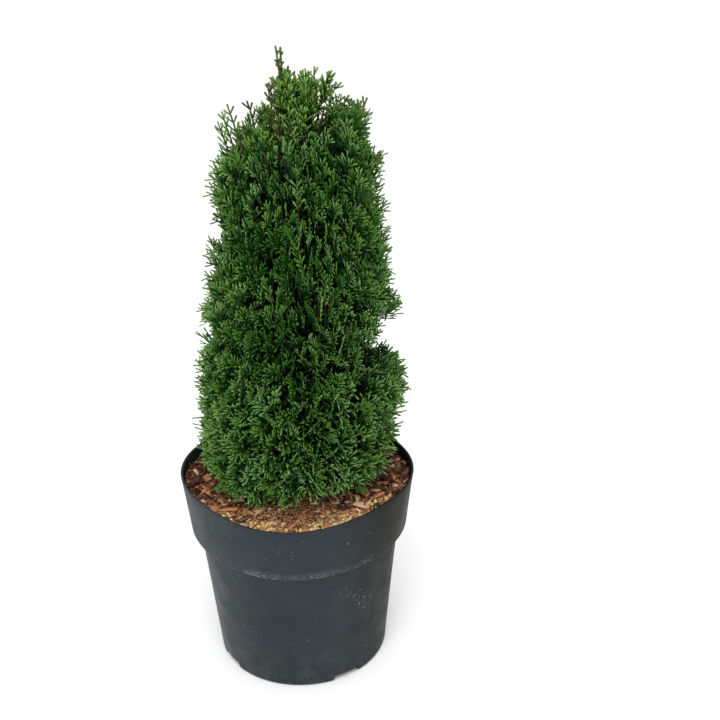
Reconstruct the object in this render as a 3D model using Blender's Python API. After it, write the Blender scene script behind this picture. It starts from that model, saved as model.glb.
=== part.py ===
"""A conical arborvitae in a round nursery pot: the pot, the bark-topped soil, the trunk, the boughs and the
masses of foliage, each a closed solid. Metres, +Z up, origin at the centre of the pot's underside. The
photo's viewer stands on the -Y side, so +X is the right of the picture."""

import math
import random

import bmesh
import bpy
from mathutils import Vector

# Pot: a thin-walled nursery pot with a wide collar, a step under it and four notches in its foot
POT_HEIGHT = 0.1842
RIM_RADIUS = 0.1007
COLLAR_FOOT_RADIUS = 0.0960
COLLAR_FOOT = 0.1310
BODY_TOP_RADIUS = 0.0888
FOOT_RADIUS = 0.0769
FOOT_RING_INNER = 0.0690
FOOT_ROUND = 0.0032
FOOT_DRAFT = 0.0006
EDGE_ROUND = 0.0015
LIP_ROUND = 0.0006
WALL = 0.0020
FLOOR_HEIGHT = 0.0065
POT_SIDES = 48
LOBES = 4
LOBE_REACH = 0.0028
LOBE_AZIMUTH = math.radians(-94)
NOTCH_AZIMUTH = math.radians(-58)
NOTCH_WIDTH = 0.031
NOTCH_TAPER = 0.0035
CUTTER_MARGIN = 0.0050
DRAIN_HOLES = 8
DRAIN_RADIUS = 0.0060
DRAIN_CIRCLE = 0.0520
DRAIN_SIDES = 10

# Soil
CLEARANCE = 0.0004
SOIL_TOP = 0.1740
SOIL_UNEVEN = 0.0022
SOIL_RINGS = (0.088, 0.070, 0.048)
SOIL_FLAT = 0.0220

# Trunk
TOUCH = 0.0003
TRUNK_FOOT = SOIL_TOP + TOUCH
TRUNK_TIP = 0.5150
TRUNK_FOOT_RADIUS = 0.0078
TRUNK_TIP_RADIUS = 0.0012
TRUNK_TAPER_POWER = 1.1
FLARE = 0.0050
FLARE_HEIGHT = 0.0090
FLARE_LOBES = 5
FLARE_SHARE = 0.6
TRUNK_SWAY = 0.0085
TRUNK_SWAY_BACK = 0.0040
TIP_SHIFT = -0.0035
TRUNK_SIDES = 10
TRUNK_RINGS = 16
TRUNK_RING_SPREAD = 1.6

# Crown envelope
CROWN_FOOT = 0.1800
CROWN_RADIUS = 0.0950
CROWN_TAPER = 0.1160
SKIRT_TUCK_HEIGHT = 0.0350
SKIRT_TUCK_POWER = 0.35
SKIRT_TUCK_LEAST = 0.10
CROWN_SHOULDER = 0.5150
CROWN_TOP = 0.5610
INNER_SHARE = 0.36
SPACE_GAP = 0.0010
SPACE_SLACK = 0.0020

# Tiers of foliage, from the soil up: name, masses round the trunk, azimuth of the first in degrees, height of
# the tier's lower edge at the crown's surface, rise of that edge for each metre outwards, and how much higher
# the edge lies on the right than on the trunk's own line
TIERS = (
    ("skirt", 5, 18, 0.1780, 0.00, 0.000),
    ("lower", 5, -6, 0.2400, 0.35, -0.010),
    ("middle", 5, 30, 0.3010, 0.60, 0.016),
    ("upper", 4, -35, 0.3750, 0.85, 0.018),
    ("crown", 4, 5, 0.4480, 1.15, 0.015),
)
# Where the plumes of the last tier end
PLUME_TOPS = (0.5440, 0.5300, 0.5180, 0.5080)
# How far single masses stand out of the envelope, by name, as the photo's bulges and plumes show
REACH = {
    "lower_1": 1.07,
    "lower_4": 1.05,
    "middle_1": 1.06,
    "middle_3": 1.04,
    "upper_1": 1.12,
    "upper_2": 1.08,
    "upper_3": 0.95,
    "crown_1": 1.20,
    "crown_3": 0.94,
}
LEADER_RADIUS = 0.0240
LEADER_FOOT = 0.4700
LEADER_TAPER_POWER = 2.2

# Boughs
BOUGH_SIDES = 6
BOUGH_RINGS = 4
BOUGH_RADIUS = 0.0026
BOUGH_TIP_RADIUS = 0.0015
BOUGH_COLLAR = 1.35
BOUGH_RISE = 0.23
BOUGH_RISE_PER_TIER = 0.085
BOUGH_LIFT = 0.12
BOUGH_SPREAD = 0.35
BOUGH_STAGGER = 0.0015
BOUGH_FITTING_PASSES = 4
LOWEST_BOUGH = 0.0140
STEM_LENGTH = 0.0060
STEM_SINK = 0.0150

# Foliage masses: a core that toothed sprays stand out of
CORE_WIDTH = 0.96
CORE_LEVELS = (0.02, 0.94)
PLUME_CORE_LEVELS = (0.02, 0.62)
CORE_REACH = 0.87
CORE_STATIONS = 5
CORE_SIDES = 8
CORE_ROUNDNESS = 5.0
SPRAY_COLUMNS = 3
SPRAY_ROWS = 3
SPRAY_STAGGER = 0.18
SPRAY_JITTER = 0.12
SPRAY_DROP = (0.06, 0.35)
SPRAY_RUN = (0.028, 0.038)
TIP_REACH = (0.93, 0.99)
SPRAY_WIDTH = 0.0230
SPRAY_THICKNESS = 0.0011
SPRAY_STALK = 0.0036
SPRAY_TURN = 0.8
ROOT_DEPTH = 0.70
ROOT_INSET = 0.78
LEADER_SPRAYS = 10
LEADER_CORE_RADIUS = 0.0125
LEADER_CORE_SHARES = (0.10, 0.35, 0.60, 0.80)
LEADER_BORE_STEPS = 4
LEADER_TIPS = (0.30, 0.86)
LEADER_TIP_REACH = (0.68, 0.86)
LEADER_ROOT_DEPTH = 0.30
LEADER_SPRAY_WIDTH = 0.0150
GOLDEN_ANGLE = math.radians(137.5)
SEED = 11

UP = Vector((0, 0, 1))
COLOURS = {
    "pot": ((0.030, 0.034, 0.037), 0.55),
    "soil": ((0.095, 0.045, 0.022), 0.95),
    "trunk": ((0.130, 0.070, 0.040), 0.85),
    "bough": ((0.150, 0.080, 0.042), 0.85),
    "foliage": ((0.050, 0.140, 0.025), 0.60),
}


def clear_scene():
    for obj in list(bpy.data.objects):
        bpy.data.objects.remove(obj)


def material(kind):
    found = bpy.data.materials.get(kind)
    if found:
        return found
    colour, roughness = COLOURS[kind]
    made = bpy.data.materials.new(kind)
    made.use_nodes = True
    shader = made.node_tree.nodes["Principled BSDF"]
    shader.inputs["Base Color"].default_value = (*colour, 1)
    shader.inputs["Roughness"].default_value = roughness
    shader.inputs["Metallic"].default_value = 0
    return made


def add_object(name, bm, kind, smooth_angle=None):
    """An object from a bmesh, with its faces turned outwards."""
    bmesh.ops.recalc_face_normals(bm, faces=bm.faces[:])
    mesh = bpy.data.meshes.new(name)
    bm.to_mesh(mesh)
    bm.free()
    mesh.materials.append(material(kind))
    if smooth_angle:
        mesh.shade_smooth()
        mesh.set_sharp_from_angle(angle=math.radians(smooth_angle))
    obj = bpy.data.objects.new(name, mesh)
    bpy.context.scene.collection.objects.link(obj)
    return obj


def skin_rings(bm, rings):
    """Quads between rings of points. A ring of one point is a pole, and an open end gets a flat cap."""
    made = [[bm.verts.new(point) for point in ring] for ring in rings]
    for low, high in zip(made, made[1:]):
        count = max(len(low), len(high))
        for i in range(count):
            j = (i + 1) % count
            corners = [low[i % len(low)], low[j % len(low)], high[j % len(high)], high[i % len(high)]]
            bm.faces.new(list(dict.fromkeys(corners)))
    for end in (made[0], made[-1]):
        if len(end) > 1:
            bm.faces.new(end)


# Pot and soil


def out_of_round(radius, height, azimuth):
    """The soft wall's radius, which bulges on four sides towards the rim."""
    swell = LOBE_REACH * (height / POT_HEIGHT) ** 3 * radius / RIM_RADIUS
    return radius + swell * math.cos(LOBES * (azimuth - LOBE_AZIMUTH))


def lathe(profile):
    """Rings for a profile of (radius, height) that starts and ends on the axis."""
    rings = []
    for radius, height in profile:
        if radius == 0:
            rings.append([Vector((0, 0, height))])
            continue
        ring = []
        for i in range(POT_SIDES):
            azimuth = math.tau * i / POT_SIDES
            r = out_of_round(radius, height, azimuth)
            ring.append(Vector((r * math.cos(azimuth), r * math.sin(azimuth), height)))
        rings.append(ring)
    return rings


def pot_outside():
    """From the middle of the underside out to the foot, and up to the rim."""
    chamfer = FOOT_ROUND * (1 - math.sqrt(0.5))
    return [
        (0, FLOOR_HEIGHT),
        (FOOT_RING_INNER, FLOOR_HEIGHT),
        (FOOT_RING_INNER + FOOT_DRAFT, 0),
        (FOOT_RADIUS - FOOT_ROUND, 0),
        (FOOT_RADIUS - chamfer, chamfer),
        (FOOT_RADIUS, FOOT_ROUND),
        (BODY_TOP_RADIUS, COLLAR_FOOT - EDGE_ROUND),
        (BODY_TOP_RADIUS + EDGE_ROUND, COLLAR_FOOT),
        (COLLAR_FOOT_RADIUS - EDGE_ROUND, COLLAR_FOOT),
        (COLLAR_FOOT_RADIUS, COLLAR_FOOT + EDGE_ROUND),
        (RIM_RADIUS - LIP_ROUND / 2, POT_HEIGHT - LIP_ROUND),
        (RIM_RADIUS - LIP_ROUND, POT_HEIGHT),
    ]


def pot_inside():
    """From the rim down to the middle of the floor."""
    floor = FLOOR_HEIGHT + WALL
    step = COLLAR_FOOT + WALL
    foot = FOOT_RADIUS - WALL
    return [
        (RIM_RADIUS - WALL, POT_HEIGHT),
        (COLLAR_FOOT_RADIUS - WALL, step + EDGE_ROUND),
        (COLLAR_FOOT_RADIUS - WALL - EDGE_ROUND, step),
        (BODY_TOP_RADIUS - WALL, step - EDGE_ROUND / 2),
        (foot, floor + EDGE_ROUND),
        (foot - EDGE_ROUND, floor),
        (0, floor),
    ]


def hide_cutter(obj, cutters):
    obj.hide_render = True
    obj.display_type = "WIRE"
    bpy.context.scene.collection.objects.unlink(obj)
    cutters.objects.link(obj)


def notch_cutter(number, azimuth):
    """A wedge that opens the foot ring: wide at the ground, narrower at the top."""
    outward = Vector((math.cos(azimuth), math.sin(azimuth), 0))
    side = UP.cross(outward)
    low = NOTCH_WIDTH / 2
    high = low - NOTCH_TAPER
    outline = ((-low, -CUTTER_MARGIN), (low, -CUTTER_MARGIN), (high, FLOOR_HEIGHT), (-high, FLOOR_HEIGHT))
    rings = []
    for radius in (FOOT_RING_INNER - CUTTER_MARGIN, FOOT_RADIUS + CUTTER_MARGIN):
        rings.append([outward * radius + side * across + UP * height for across, height in outline])
    bm = bmesh.new()
    skin_rings(bm, rings)
    return add_object(f"notch_cutter_{number}", bm, "pot")


def drain_cutter(number, azimuth, circle):
    rings = []
    centre = Vector((math.cos(azimuth), math.sin(azimuth), 0)) * circle
    for height in (0, FLOOR_HEIGHT + 2 * WALL):
        ring = []
        for i in range(DRAIN_SIDES):
            turn = math.tau * i / DRAIN_SIDES
            ring.append(centre + Vector((math.cos(turn), math.sin(turn), 0)) * DRAIN_RADIUS + UP * height)
        rings.append(ring)
    bm = bmesh.new()
    skin_rings(bm, rings)
    return add_object(f"drain_cutter_{number}", bm, "pot")


def build_pot():
    bm = bmesh.new()
    skin_rings(bm, lathe(pot_outside() + pot_inside()))
    pot = add_object("pot", bm, "pot", smooth_angle=30)
    cutters = bpy.data.collections.new("pot_cutters")
    bpy.context.scene.collection.children.link(cutters)
    for n in range(LOBES):
        hide_cutter(notch_cutter(n + 1, NOTCH_AZIMUTH + n * math.tau / LOBES), cutters)
    for n in range(DRAIN_HOLES):
        hide_cutter(drain_cutter(n + 1, math.tau * n / DRAIN_HOLES, DRAIN_CIRCLE), cutters)
    hide_cutter(drain_cutter(DRAIN_HOLES + 1, 0, 0), cutters)
    cut = pot.modifiers.new("notches_and_drains", "BOOLEAN")
    cut.operation = "DIFFERENCE"
    cut.operand_type = "COLLECTION"
    cut.collection = cutters
    return pot


def soil_height(radius, azimuth):
    """The uneven top of the soil, level round the trunk's foot."""
    away = max(0.0, radius - SOIL_FLAT) / RIM_RADIUS
    waves = math.sin(3 * azimuth + 40 * radius) + 0.6 * math.sin(7 * azimuth - 90 * radius)
    return SOIL_TOP - SOIL_UNEVEN * away + SOIL_UNEVEN * away * waves


def collar_inside(height, azimuth):
    """The inner wall's radius inside the collar."""
    (rim_radius, rim), (low_radius, low) = pot_inside()[:2]
    share = (height - low) / (rim - low)
    high_reach = out_of_round(rim_radius, rim, azimuth)
    return out_of_round(low_radius, low, azimuth) * (1 - share) + high_reach * share


def build_soil():
    inside = [(r - CLEARANCE if r else 0, z + CLEARANCE) for r, z in reversed(pot_inside()[1:])]
    rings = lathe(inside)
    for nominal in (RIM_RADIUS, *SOIL_RINGS, SOIL_FLAT):
        ring = []
        for i in range(POT_SIDES):
            azimuth = math.tau * i / POT_SIDES
            height = soil_height(nominal, azimuth)
            radius = min(nominal, collar_inside(height, azimuth) - CLEARANCE)
            ring.append(Vector((radius * math.cos(azimuth), radius * math.sin(azimuth), height)))
        rings.append(ring)
    rings.append([Vector((0, 0, SOIL_TOP))])
    bm = bmesh.new()
    skin_rings(bm, rings)
    return add_object("soil", bm, "soil", smooth_angle=40)


# Trunk


def trunk_share(height):
    """A height as a share of the trunk's own, from its foot to its tip."""
    return min(max((height - TRUNK_FOOT) / (TRUNK_TIP - TRUNK_FOOT), 0.0), 1.0)


def trunk_centre(height):
    """The trunk's own line: a slight bow to the right, and a tip that comes back to the left."""
    share = trunk_share(height)
    x = TRUNK_SWAY * math.sin(math.pi * share) + TIP_SHIFT * share
    y = -TRUNK_SWAY_BACK * math.sin(math.tau * share)
    return Vector((x, y, height))


def trunk_radius(height):
    taper = (1 - trunk_share(height)) ** TRUNK_TAPER_POWER
    return TRUNK_TIP_RADIUS + (TRUNK_FOOT_RADIUS - TRUNK_TIP_RADIUS) * taper


def corner_radius(height, corner):
    """The bark's distance from the trunk's line at one corner of its ring, with the root flare."""
    flare = FLARE * math.exp(-(height - TRUNK_FOOT) / FLARE_HEIGHT)
    lobe = math.cos(FLARE_LOBES * math.tau * corner / TRUNK_SIDES)
    return trunk_radius(height) + flare * (FLARE_SHARE + (1 - FLARE_SHARE) * lobe)


def trunk_heights():
    """Heights of the trunk's rings, closer together at the foot."""
    shares = [(i / TRUNK_RINGS) ** TRUNK_RING_SPREAD for i in range(TRUNK_RINGS + 1)]
    return [TRUNK_FOOT + (TRUNK_TIP - TRUNK_FOOT) * share for share in shares]


def flat_reach(height, azimuth):
    """The bark's distance on a ring, on the flat between its two nearest corners."""
    step = math.tau / TRUNK_SIDES
    corner = math.floor(azimuth / step)
    after = azimuth - corner * step
    low = corner_radius(height, corner)
    high = corner_radius(height, corner + 1)
    return low * high * math.sin(step) / (low * math.sin(after) + high * math.sin(step - after))


def bark_point(height, azimuth):
    """The point of the faceted bark at a height and an azimuth."""
    heights = trunk_heights()
    above = next(n for n in range(1, len(heights)) if heights[n] >= height)
    low, high = heights[above - 1], heights[above]
    share = (height - low) / (high - low)
    outward = Vector((math.cos(azimuth), math.sin(azimuth), 0))
    below = trunk_centre(low) + outward * flat_reach(low, azimuth)
    return below.lerp(trunk_centre(high) + outward * flat_reach(high, azimuth), share)


def build_trunk():
    rings = []
    for height in trunk_heights():
        centre = trunk_centre(height)
        ring = []
        for corner in range(TRUNK_SIDES):
            azimuth = math.tau * corner / TRUNK_SIDES
            radius = corner_radius(height, corner)
            ring.append(centre + Vector((math.cos(azimuth), math.sin(azimuth), 0)) * radius)
        rings.append(ring)
    bm = bmesh.new()
    skin_rings(bm, rings)
    return add_object("trunk", bm, "trunk", smooth_angle=60)


# Crown spaces


def crown_radius(height):
    """The crown's envelope: a tapering column, tucked in over the soil and rounded at its shoulder."""
    radius = CROWN_RADIUS - CROWN_TAPER * (height - CROWN_FOOT)
    share = (height - SOIL_TOP) / SKIRT_TUCK_HEIGHT
    tuck = min(1.0, max(SKIRT_TUCK_LEAST, share)) ** SKIRT_TUCK_POWER
    if height > CROWN_SHOULDER:
        share = min(1.0, (height - CROWN_SHOULDER) / (CROWN_TOP - CROWN_SHOULDER))
        radius *= math.sqrt(1 - share**2)
    return radius * tuck


def tier_edge(number, out, azimuth):
    """Height of a tier's lower edge at a distance out from the trunk's line."""
    edge, rise, tilt = TIERS[number][3:]
    return edge + tilt * math.cos(azimuth) + rise * (out - crown_radius(edge))


class Space:
    """The room that one mass of foliage keeps to: a slice of its tier between two neighbours."""

    def __init__(self, tier, number):
        name, count, first = TIERS[tier][:3]
        self.tier = tier
        self.number = number
        self.name = f"{name}_{number + 1}"
        self.half = math.pi / count
        self.azimuth = math.radians(first) + math.tau * number / count
        self.reach = REACH.get(self.name, 1.0)
        self.plume = tier == len(TIERS) - 1
        middle = (self.edge(CROWN_RADIUS, 0, self.azimuth) + self.edge(CROWN_RADIUS, 1, self.azimuth)) / 2
        self.outer = crown_radius(middle) * self.reach
        self.inner = LEADER_RADIUS + SPACE_GAP if self.plume else self.outer * INNER_SHARE

    def edge(self, out, level, azimuth):
        """The lower edge at level 0 and the upper one at level 1."""
        low = tier_edge(self.tier, out, azimuth) + SPACE_GAP
        high = PLUME_TOPS[self.number] if self.plume else tier_edge(self.tier + 1, out, azimuth) - SPACE_GAP
        return low * (1 - level) + high * level

    def point(self, across, level, out):
        """A point by its shares of the space: across from -1 to 1, level and out from 0 to 1."""
        radius = self.inner + (self.outer - self.inner) * out
        azimuth = self.azimuth + across * (self.half - SPACE_GAP / radius)
        height = self.edge(radius, level, azimuth)
        lean = crown_radius(height) * self.reach / self.outer
        radius *= 1 + (lean - 1) * out
        centre = trunk_centre(height)
        return Vector((centre.x + radius * math.cos(azimuth), centre.y + radius * math.sin(azimuth), height))

    def holds(self, point):
        centre = trunk_centre(point.z)
        x, y = point.x - centre.x, point.y - centre.y
        radius = math.hypot(x, y)
        azimuth = math.atan2(y, x)
        turn = (azimuth - self.azimuth + math.pi) % math.tau - math.pi
        if radius < self.inner or radius > crown_radius(point.z) * self.reach + SPACE_SLACK:
            return False
        if abs(turn) > self.half - SPACE_GAP / radius:
            return False
        return self.edge(radius, 0, azimuth) < point.z < self.edge(radius, 1, azimuth)

    def stem(self):
        """Where the mass's stem starts and the way it grows."""
        start = self.point(0, 0.42, 0)
        ahead = self.point(0, 0.50, 0.5)
        return start, (ahead - start).normalized()


class LeaderSpace:
    """The room round the trunk's tip, a slim upright cone."""

    name = "leader"

    def radius(self, height):
        share = max(0.0, (height - LEADER_FOOT) / (CROWN_TOP - LEADER_FOOT))
        return LEADER_RADIUS * (1 - share**LEADER_TAPER_POWER)

    def point(self, azimuth, height, out):
        radius = self.radius(height) * out
        return trunk_centre(height) + Vector((radius * math.cos(azimuth), radius * math.sin(azimuth), 0))

    def holds(self, point):
        centre = trunk_centre(point.z)
        radius = math.hypot(point.x - centre.x, point.y - centre.y)
        return LEADER_FOOT < point.z < CROWN_TOP and radius < self.radius(point.z)


# Limbs


def across_pair(direction):
    """Two unit vectors square to a direction."""
    aside = direction.orthogonal().normalized()
    if abs(direction.dot(UP)) < 0.99:
        aside = direction.cross(UP).normalized()
    return aside, aside.cross(direction).normalized()


def limb_rings(path, radii, sides):
    """Rings of a tapering limb square to its path."""
    rings = []
    for i, (centre, radius) in enumerate(zip(path, radii)):
        ahead = path[min(i + 1, len(path) - 1)] - path[max(i - 1, 0)]
        aside, over = across_pair(ahead.normalized())
        ring = []
        for n in range(sides):
            turn = math.tau * n / sides
            ring.append(centre + (aside * math.cos(turn) + over * math.sin(turn)) * radius)
        rings.append(ring)
    return rings


def bent_path(root, lift, end):
    """A smooth bend from root to end that is drawn towards lift."""
    path = []
    for i in range(BOUGH_RINGS + 1):
        t = i / BOUGH_RINGS
        path.append(root * (1 - t) ** 2 + lift * 2 * t * (1 - t) + end * t**2)
    return path


def bough_path(space):
    """From the trunk's bark out and then up to the foot of the mass's stem. The first ring is square to the
    path, so it stands off the bark by as much as its lower rim leans back."""
    start, growth = space.stem()
    end = start - growth * STEM_LENGTH
    level = end.z - math.hypot(end.x, end.y) * (BOUGH_RISE + BOUGH_RISE_PER_TIER * space.tier)
    level = max(level, TRUNK_FOOT + LOWEST_BOUGH + BOUGH_STAGGER * (space.number % 3))
    outward = Vector((math.cos(space.azimuth), math.sin(space.azimuth), 0))
    bark = bark_point(level, space.azimuth)
    stand_off = TOUCH
    for _ in range(BOUGH_FITTING_PASSES):
        root = bark + outward * stand_off
        lift = root + (outward + UP * BOUGH_LIFT).normalized() * (end - root).length * BOUGH_SPREAD
        path = bent_path(root, lift, end)
        start_way = (path[1] - path[0]).normalized()
        stand_off = TOUCH + BOUGH_RADIUS * BOUGH_COLLAR * abs(start_way.z)
    return path


def build_bough(space):
    path = bough_path(space)
    radii = []
    for i in range(len(path)):
        share = i / (len(path) - 1)
        radii.append(BOUGH_RADIUS + (BOUGH_TIP_RADIUS - BOUGH_RADIUS) * share)
    radii[0] *= BOUGH_COLLAR
    bm = bmesh.new()
    skin_rings(bm, limb_rings(path, radii, BOUGH_SIDES))
    return add_object(f"bough_{space.name}", bm, "bough", smooth_angle=50)


def build_stem(space):
    """The three-sided twig that carries a mass, from its bough's tip into the core."""
    start, growth = space.stem()
    root = start - growth * (STEM_LENGTH - TOUCH)
    tip = start + growth * STEM_SINK
    bm = bmesh.new()
    skin_rings(bm, limb_rings([root, tip], [BOUGH_TIP_RADIUS, BOUGH_TIP_RADIUS * 0.7], 3))
    return add_object("stem", bm, "foliage")


# Foliage


def swell(along):
    """Width of the core at a share of its length from -1 to 1."""
    return (1 - abs(along) ** CORE_ROUNDNESS) ** (1 / CORE_ROUNDNESS)


def rounded(value):
    """A cosine or sine pressed towards the corners of a square."""
    return math.copysign(abs(value) ** (2 / CORE_ROUNDNESS), value)


def core_point(space, turn, along):
    """A point of the core's surface, turned round the mass's own axis."""
    low, high = PLUME_CORE_LEVELS if space.plume else CORE_LEVELS
    across = rounded(math.cos(turn)) * swell(along) * CORE_WIDTH
    level = (low + high) / 2 + rounded(math.sin(turn)) * swell(along) * (high - low) / 2
    return space.point(across, level, CORE_REACH * (0.5 + 0.5 * along))


def build_core(space):
    rings = [[core_point(space, 0, -1)]]
    for i in range(CORE_STATIONS):
        along = -math.cos(math.pi * (i + 1) / (CORE_STATIONS + 1))
        rings.append([core_point(space, math.tau * n / CORE_SIDES, along) for n in range(CORE_SIDES)])
    rings.append([core_point(space, 0, 1)])
    bm = bmesh.new()
    skin_rings(bm, rings)
    return add_object(f"foliage_{space.name}", bm, "foliage")


def level_ring(height, radius):
    """A ring of the leader's core, level and round the trunk's line."""
    ring = []
    for n in range(CORE_SIDES):
        turn = math.tau * n / CORE_SIDES
        ring.append(trunk_centre(height) + Vector((math.cos(turn), math.sin(turn), 0)) * radius)
    return ring


def build_leader_core(space):
    """A slender core round the trunk's top, bored clear of it, that ends in the crown's tip."""
    rings = [[trunk_centre(TRUNK_TIP + TOUCH)]]
    corner = 1 / math.cos(math.pi / CORE_SIDES)
    for step in range(LEADER_BORE_STEPS + 1):
        height = TRUNK_TIP + TOUCH + (LEADER_FOOT - TRUNK_TIP - TOUCH) * step / LEADER_BORE_STEPS
        rings.append(level_ring(height, (trunk_radius(height) + TOUCH) * corner))
    for share in LEADER_CORE_SHARES:
        height = LEADER_FOOT + (CROWN_TOP - LEADER_FOOT) * share
        rings.append(level_ring(height, LEADER_CORE_RADIUS * math.sin(math.pi * (1 + 3 * share) / 4)))
    rings.append([trunk_centre(CROWN_TOP)])
    bm = bmesh.new()
    skin_rings(bm, rings)
    return add_object(f"foliage_{space.name}", bm, "foliage")


def spray_outline(length, width, pairs):
    """A flat fan: a stalk, pairs of forward-pointing branchlets on both sides, and the tip."""
    right = [(0, SPRAY_STALK / 2)]
    for n in range(pairs):
        share = (n + 1) / pairs
        reach = width / 2 * (1.3 - 0.3 * pairs * share)
        right.append((length * (0.84 * share - 0.30 / pairs), SPRAY_STALK * 0.8))
        right.append((length * 0.84 * share, reach))
        right.append((length * (0.84 * share - 0.09 / pairs), reach * 0.34))
    left = [(along, -across) for along, across in reversed(right)]
    return right + [(length, 0)] + left


def build_spray(space, root, tip, turn, width, pairs):
    """A toothed blade from a root in the core to a tip at the crown's surface. It gets narrower where the
    space is tight, and is skipped where even a narrow one would leave it."""
    direction = (tip - root).normalized()
    length = (tip - root).length
    first, second = across_pair(direction)
    aside = first * math.cos(turn) + second * math.sin(turn)
    over = direction.cross(aside).normalized() * SPRAY_THICKNESS / 2
    for narrowed in (1.0, 0.75, 0.5):
        points = []
        for along, across in spray_outline(length, width * narrowed, pairs):
            points.append(root + direction * along + aside * across)
        shown = [p for p in points if (p - root).length > length / 2]
        if all(space.holds(p + over) and space.holds(p - over) for p in shown):
            bm = bmesh.new()
            skin_rings(bm, [[p - over for p in points], [p + over for p in points]])
            return [add_object("spray", bm, "foliage")]
    return []


def place_sprays(space, rng):
    """Sprays whose tips lie in rows and columns over the mass's outer face, by a seeded rule."""
    sprays = []
    low, high = PLUME_CORE_LEVELS if space.plume else CORE_LEVELS
    middle = (low + high) / 2
    tall = space.point(0, 1, 1).z - space.point(0, 0, 1).z
    for row in range(SPRAY_ROWS):
        for column in range(SPRAY_COLUMNS):
            stagger = SPRAY_STAGGER if row % 2 else -SPRAY_STAGGER
            place = column + 0.5 + stagger + rng.uniform(-SPRAY_JITTER, SPRAY_JITTER)
            across = 2 * place / SPRAY_COLUMNS - 1
            level = (row + 1 - rng.uniform(*SPRAY_DROP)) / SPRAY_ROWS
            tip = space.point(across, level, rng.uniform(*TIP_REACH))
            below = level - rng.uniform(*SPRAY_RUN) / tall
            below = middle + (min(max(below, low), high) - middle) * ROOT_INSET
            root = space.point(across * ROOT_INSET, below, ROOT_DEPTH)
            turn = rng.uniform(-SPRAY_TURN, SPRAY_TURN)
            sprays += build_spray(space, root, tip, turn, SPRAY_WIDTH, 2 if space.plume else 1)
    return sprays


def place_leader_sprays(space, rng):
    """Sprays that climb round the leader's core."""
    sprays = []
    for n in range(LEADER_SPRAYS):
        low, high = LEADER_TIPS
        share = low + (high - low) * n / LEADER_SPRAYS
        azimuth = GOLDEN_ANGLE * n
        height = LEADER_FOOT + (CROWN_TOP - LEADER_FOOT) * share
        tip = space.point(azimuth, height, rng.uniform(*LEADER_TIP_REACH))
        run = rng.uniform(*SPRAY_RUN) * (1 - share / 2)
        root = space.point(azimuth, height - run, LEADER_ROOT_DEPTH)
        turn = rng.uniform(-SPRAY_TURN, SPRAY_TURN)
        sprays += build_spray(space, root, tip, turn, LEADER_SPRAY_WIDTH, 1)
    return sprays


def fuse(body, pieces):
    """One union of a mass's core, stem and sprays. Scraps that don't reach the core are dropped."""
    group = bpy.data.collections.new("fused")
    bpy.context.scene.collection.children.link(group)
    for piece in pieces:
        bpy.context.scene.collection.objects.unlink(piece)
        group.objects.link(piece)
    join = body.modifiers.new("fuse", "BOOLEAN")
    join.operation = "UNION"
    join.operand_type = "COLLECTION"
    join.collection = group
    graph = bpy.context.evaluated_depsgraph_get()
    joined = bpy.data.meshes.new_from_object(body.evaluated_get(graph))
    body.modifiers.clear()
    body.data = joined
    for piece in pieces:
        bpy.data.objects.remove(piece)
    bpy.data.collections.remove(group)
    drop_scraps(joined)


def drop_scraps(mesh):
    bm = bmesh.new()
    bm.from_mesh(mesh)
    bm.verts.ensure_lookup_table()
    seen = set()
    bodies = []
    for vert in bm.verts:
        if vert in seen:
            continue
        body, waiting = [], [vert]
        seen.add(vert)
        while waiting:
            here = waiting.pop()
            body.append(here)
            for edge in here.link_edges:
                other = edge.other_vert(here)
                if other not in seen:
                    seen.add(other)
                    waiting.append(other)
        bodies.append(body)
    bodies.sort(key=len)
    for body in bodies[:-1]:
        bmesh.ops.delete(bm, geom=body, context="VERTS")
    bm.to_mesh(mesh)
    bm.free()


def build_mass(space, rng):
    core = build_core(space)
    fuse(core, [build_stem(space), *place_sprays(space, rng)])
    return core


def build_leader(rng):
    space = LeaderSpace()
    core = build_leader_core(space)
    fuse(core, place_leader_sprays(space, rng))
    return core


def main():
    clear_scene()
    build_pot()
    build_soil()
    build_trunk()
    rng = random.Random(SEED)
    for tier in range(len(TIERS)):
        for number in range(TIERS[tier][1]):
            space = Space(tier, number)
            build_bough(space)
            build_mass(space, rng)
    build_leader(rng)


main()
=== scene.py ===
"""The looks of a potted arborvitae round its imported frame: a lobed nursery pot, bark mulch with feed beads,
ridged bark, and a crown of flat sprays of scale leaves that grow on from the boughs. Metres, +Z up. The
photo's viewer stands on the -Y side, so +X is the right of the picture."""

import math
import random
from collections import namedtuple

import bmesh
import bpy
import numpy as np
from mathutils import Matrix, Vector, noise


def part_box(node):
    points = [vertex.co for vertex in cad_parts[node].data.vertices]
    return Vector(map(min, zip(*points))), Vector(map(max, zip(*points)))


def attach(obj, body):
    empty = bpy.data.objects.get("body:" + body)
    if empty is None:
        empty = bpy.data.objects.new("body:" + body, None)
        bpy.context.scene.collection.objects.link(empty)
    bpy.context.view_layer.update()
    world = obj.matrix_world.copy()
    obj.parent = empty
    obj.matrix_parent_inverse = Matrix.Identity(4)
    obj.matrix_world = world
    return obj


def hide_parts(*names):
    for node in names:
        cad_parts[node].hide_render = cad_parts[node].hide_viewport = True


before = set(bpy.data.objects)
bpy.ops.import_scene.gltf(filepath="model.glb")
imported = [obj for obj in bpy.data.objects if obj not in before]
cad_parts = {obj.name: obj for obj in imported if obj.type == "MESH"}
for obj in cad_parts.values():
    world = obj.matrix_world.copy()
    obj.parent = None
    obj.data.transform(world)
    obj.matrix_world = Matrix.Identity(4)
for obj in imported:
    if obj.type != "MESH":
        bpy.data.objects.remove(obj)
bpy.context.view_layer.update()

# Camera, as fitted to the photo
CAMERA_PLACE = (0.0575, -1.0233, 0.8180)
CAMERA_PITCH = math.radians(27.30)
CAMERA_ROLL = math.radians(-1.008)
CAMERA_LENS = 67.54
CAMERA_SENSOR = 36

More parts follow.
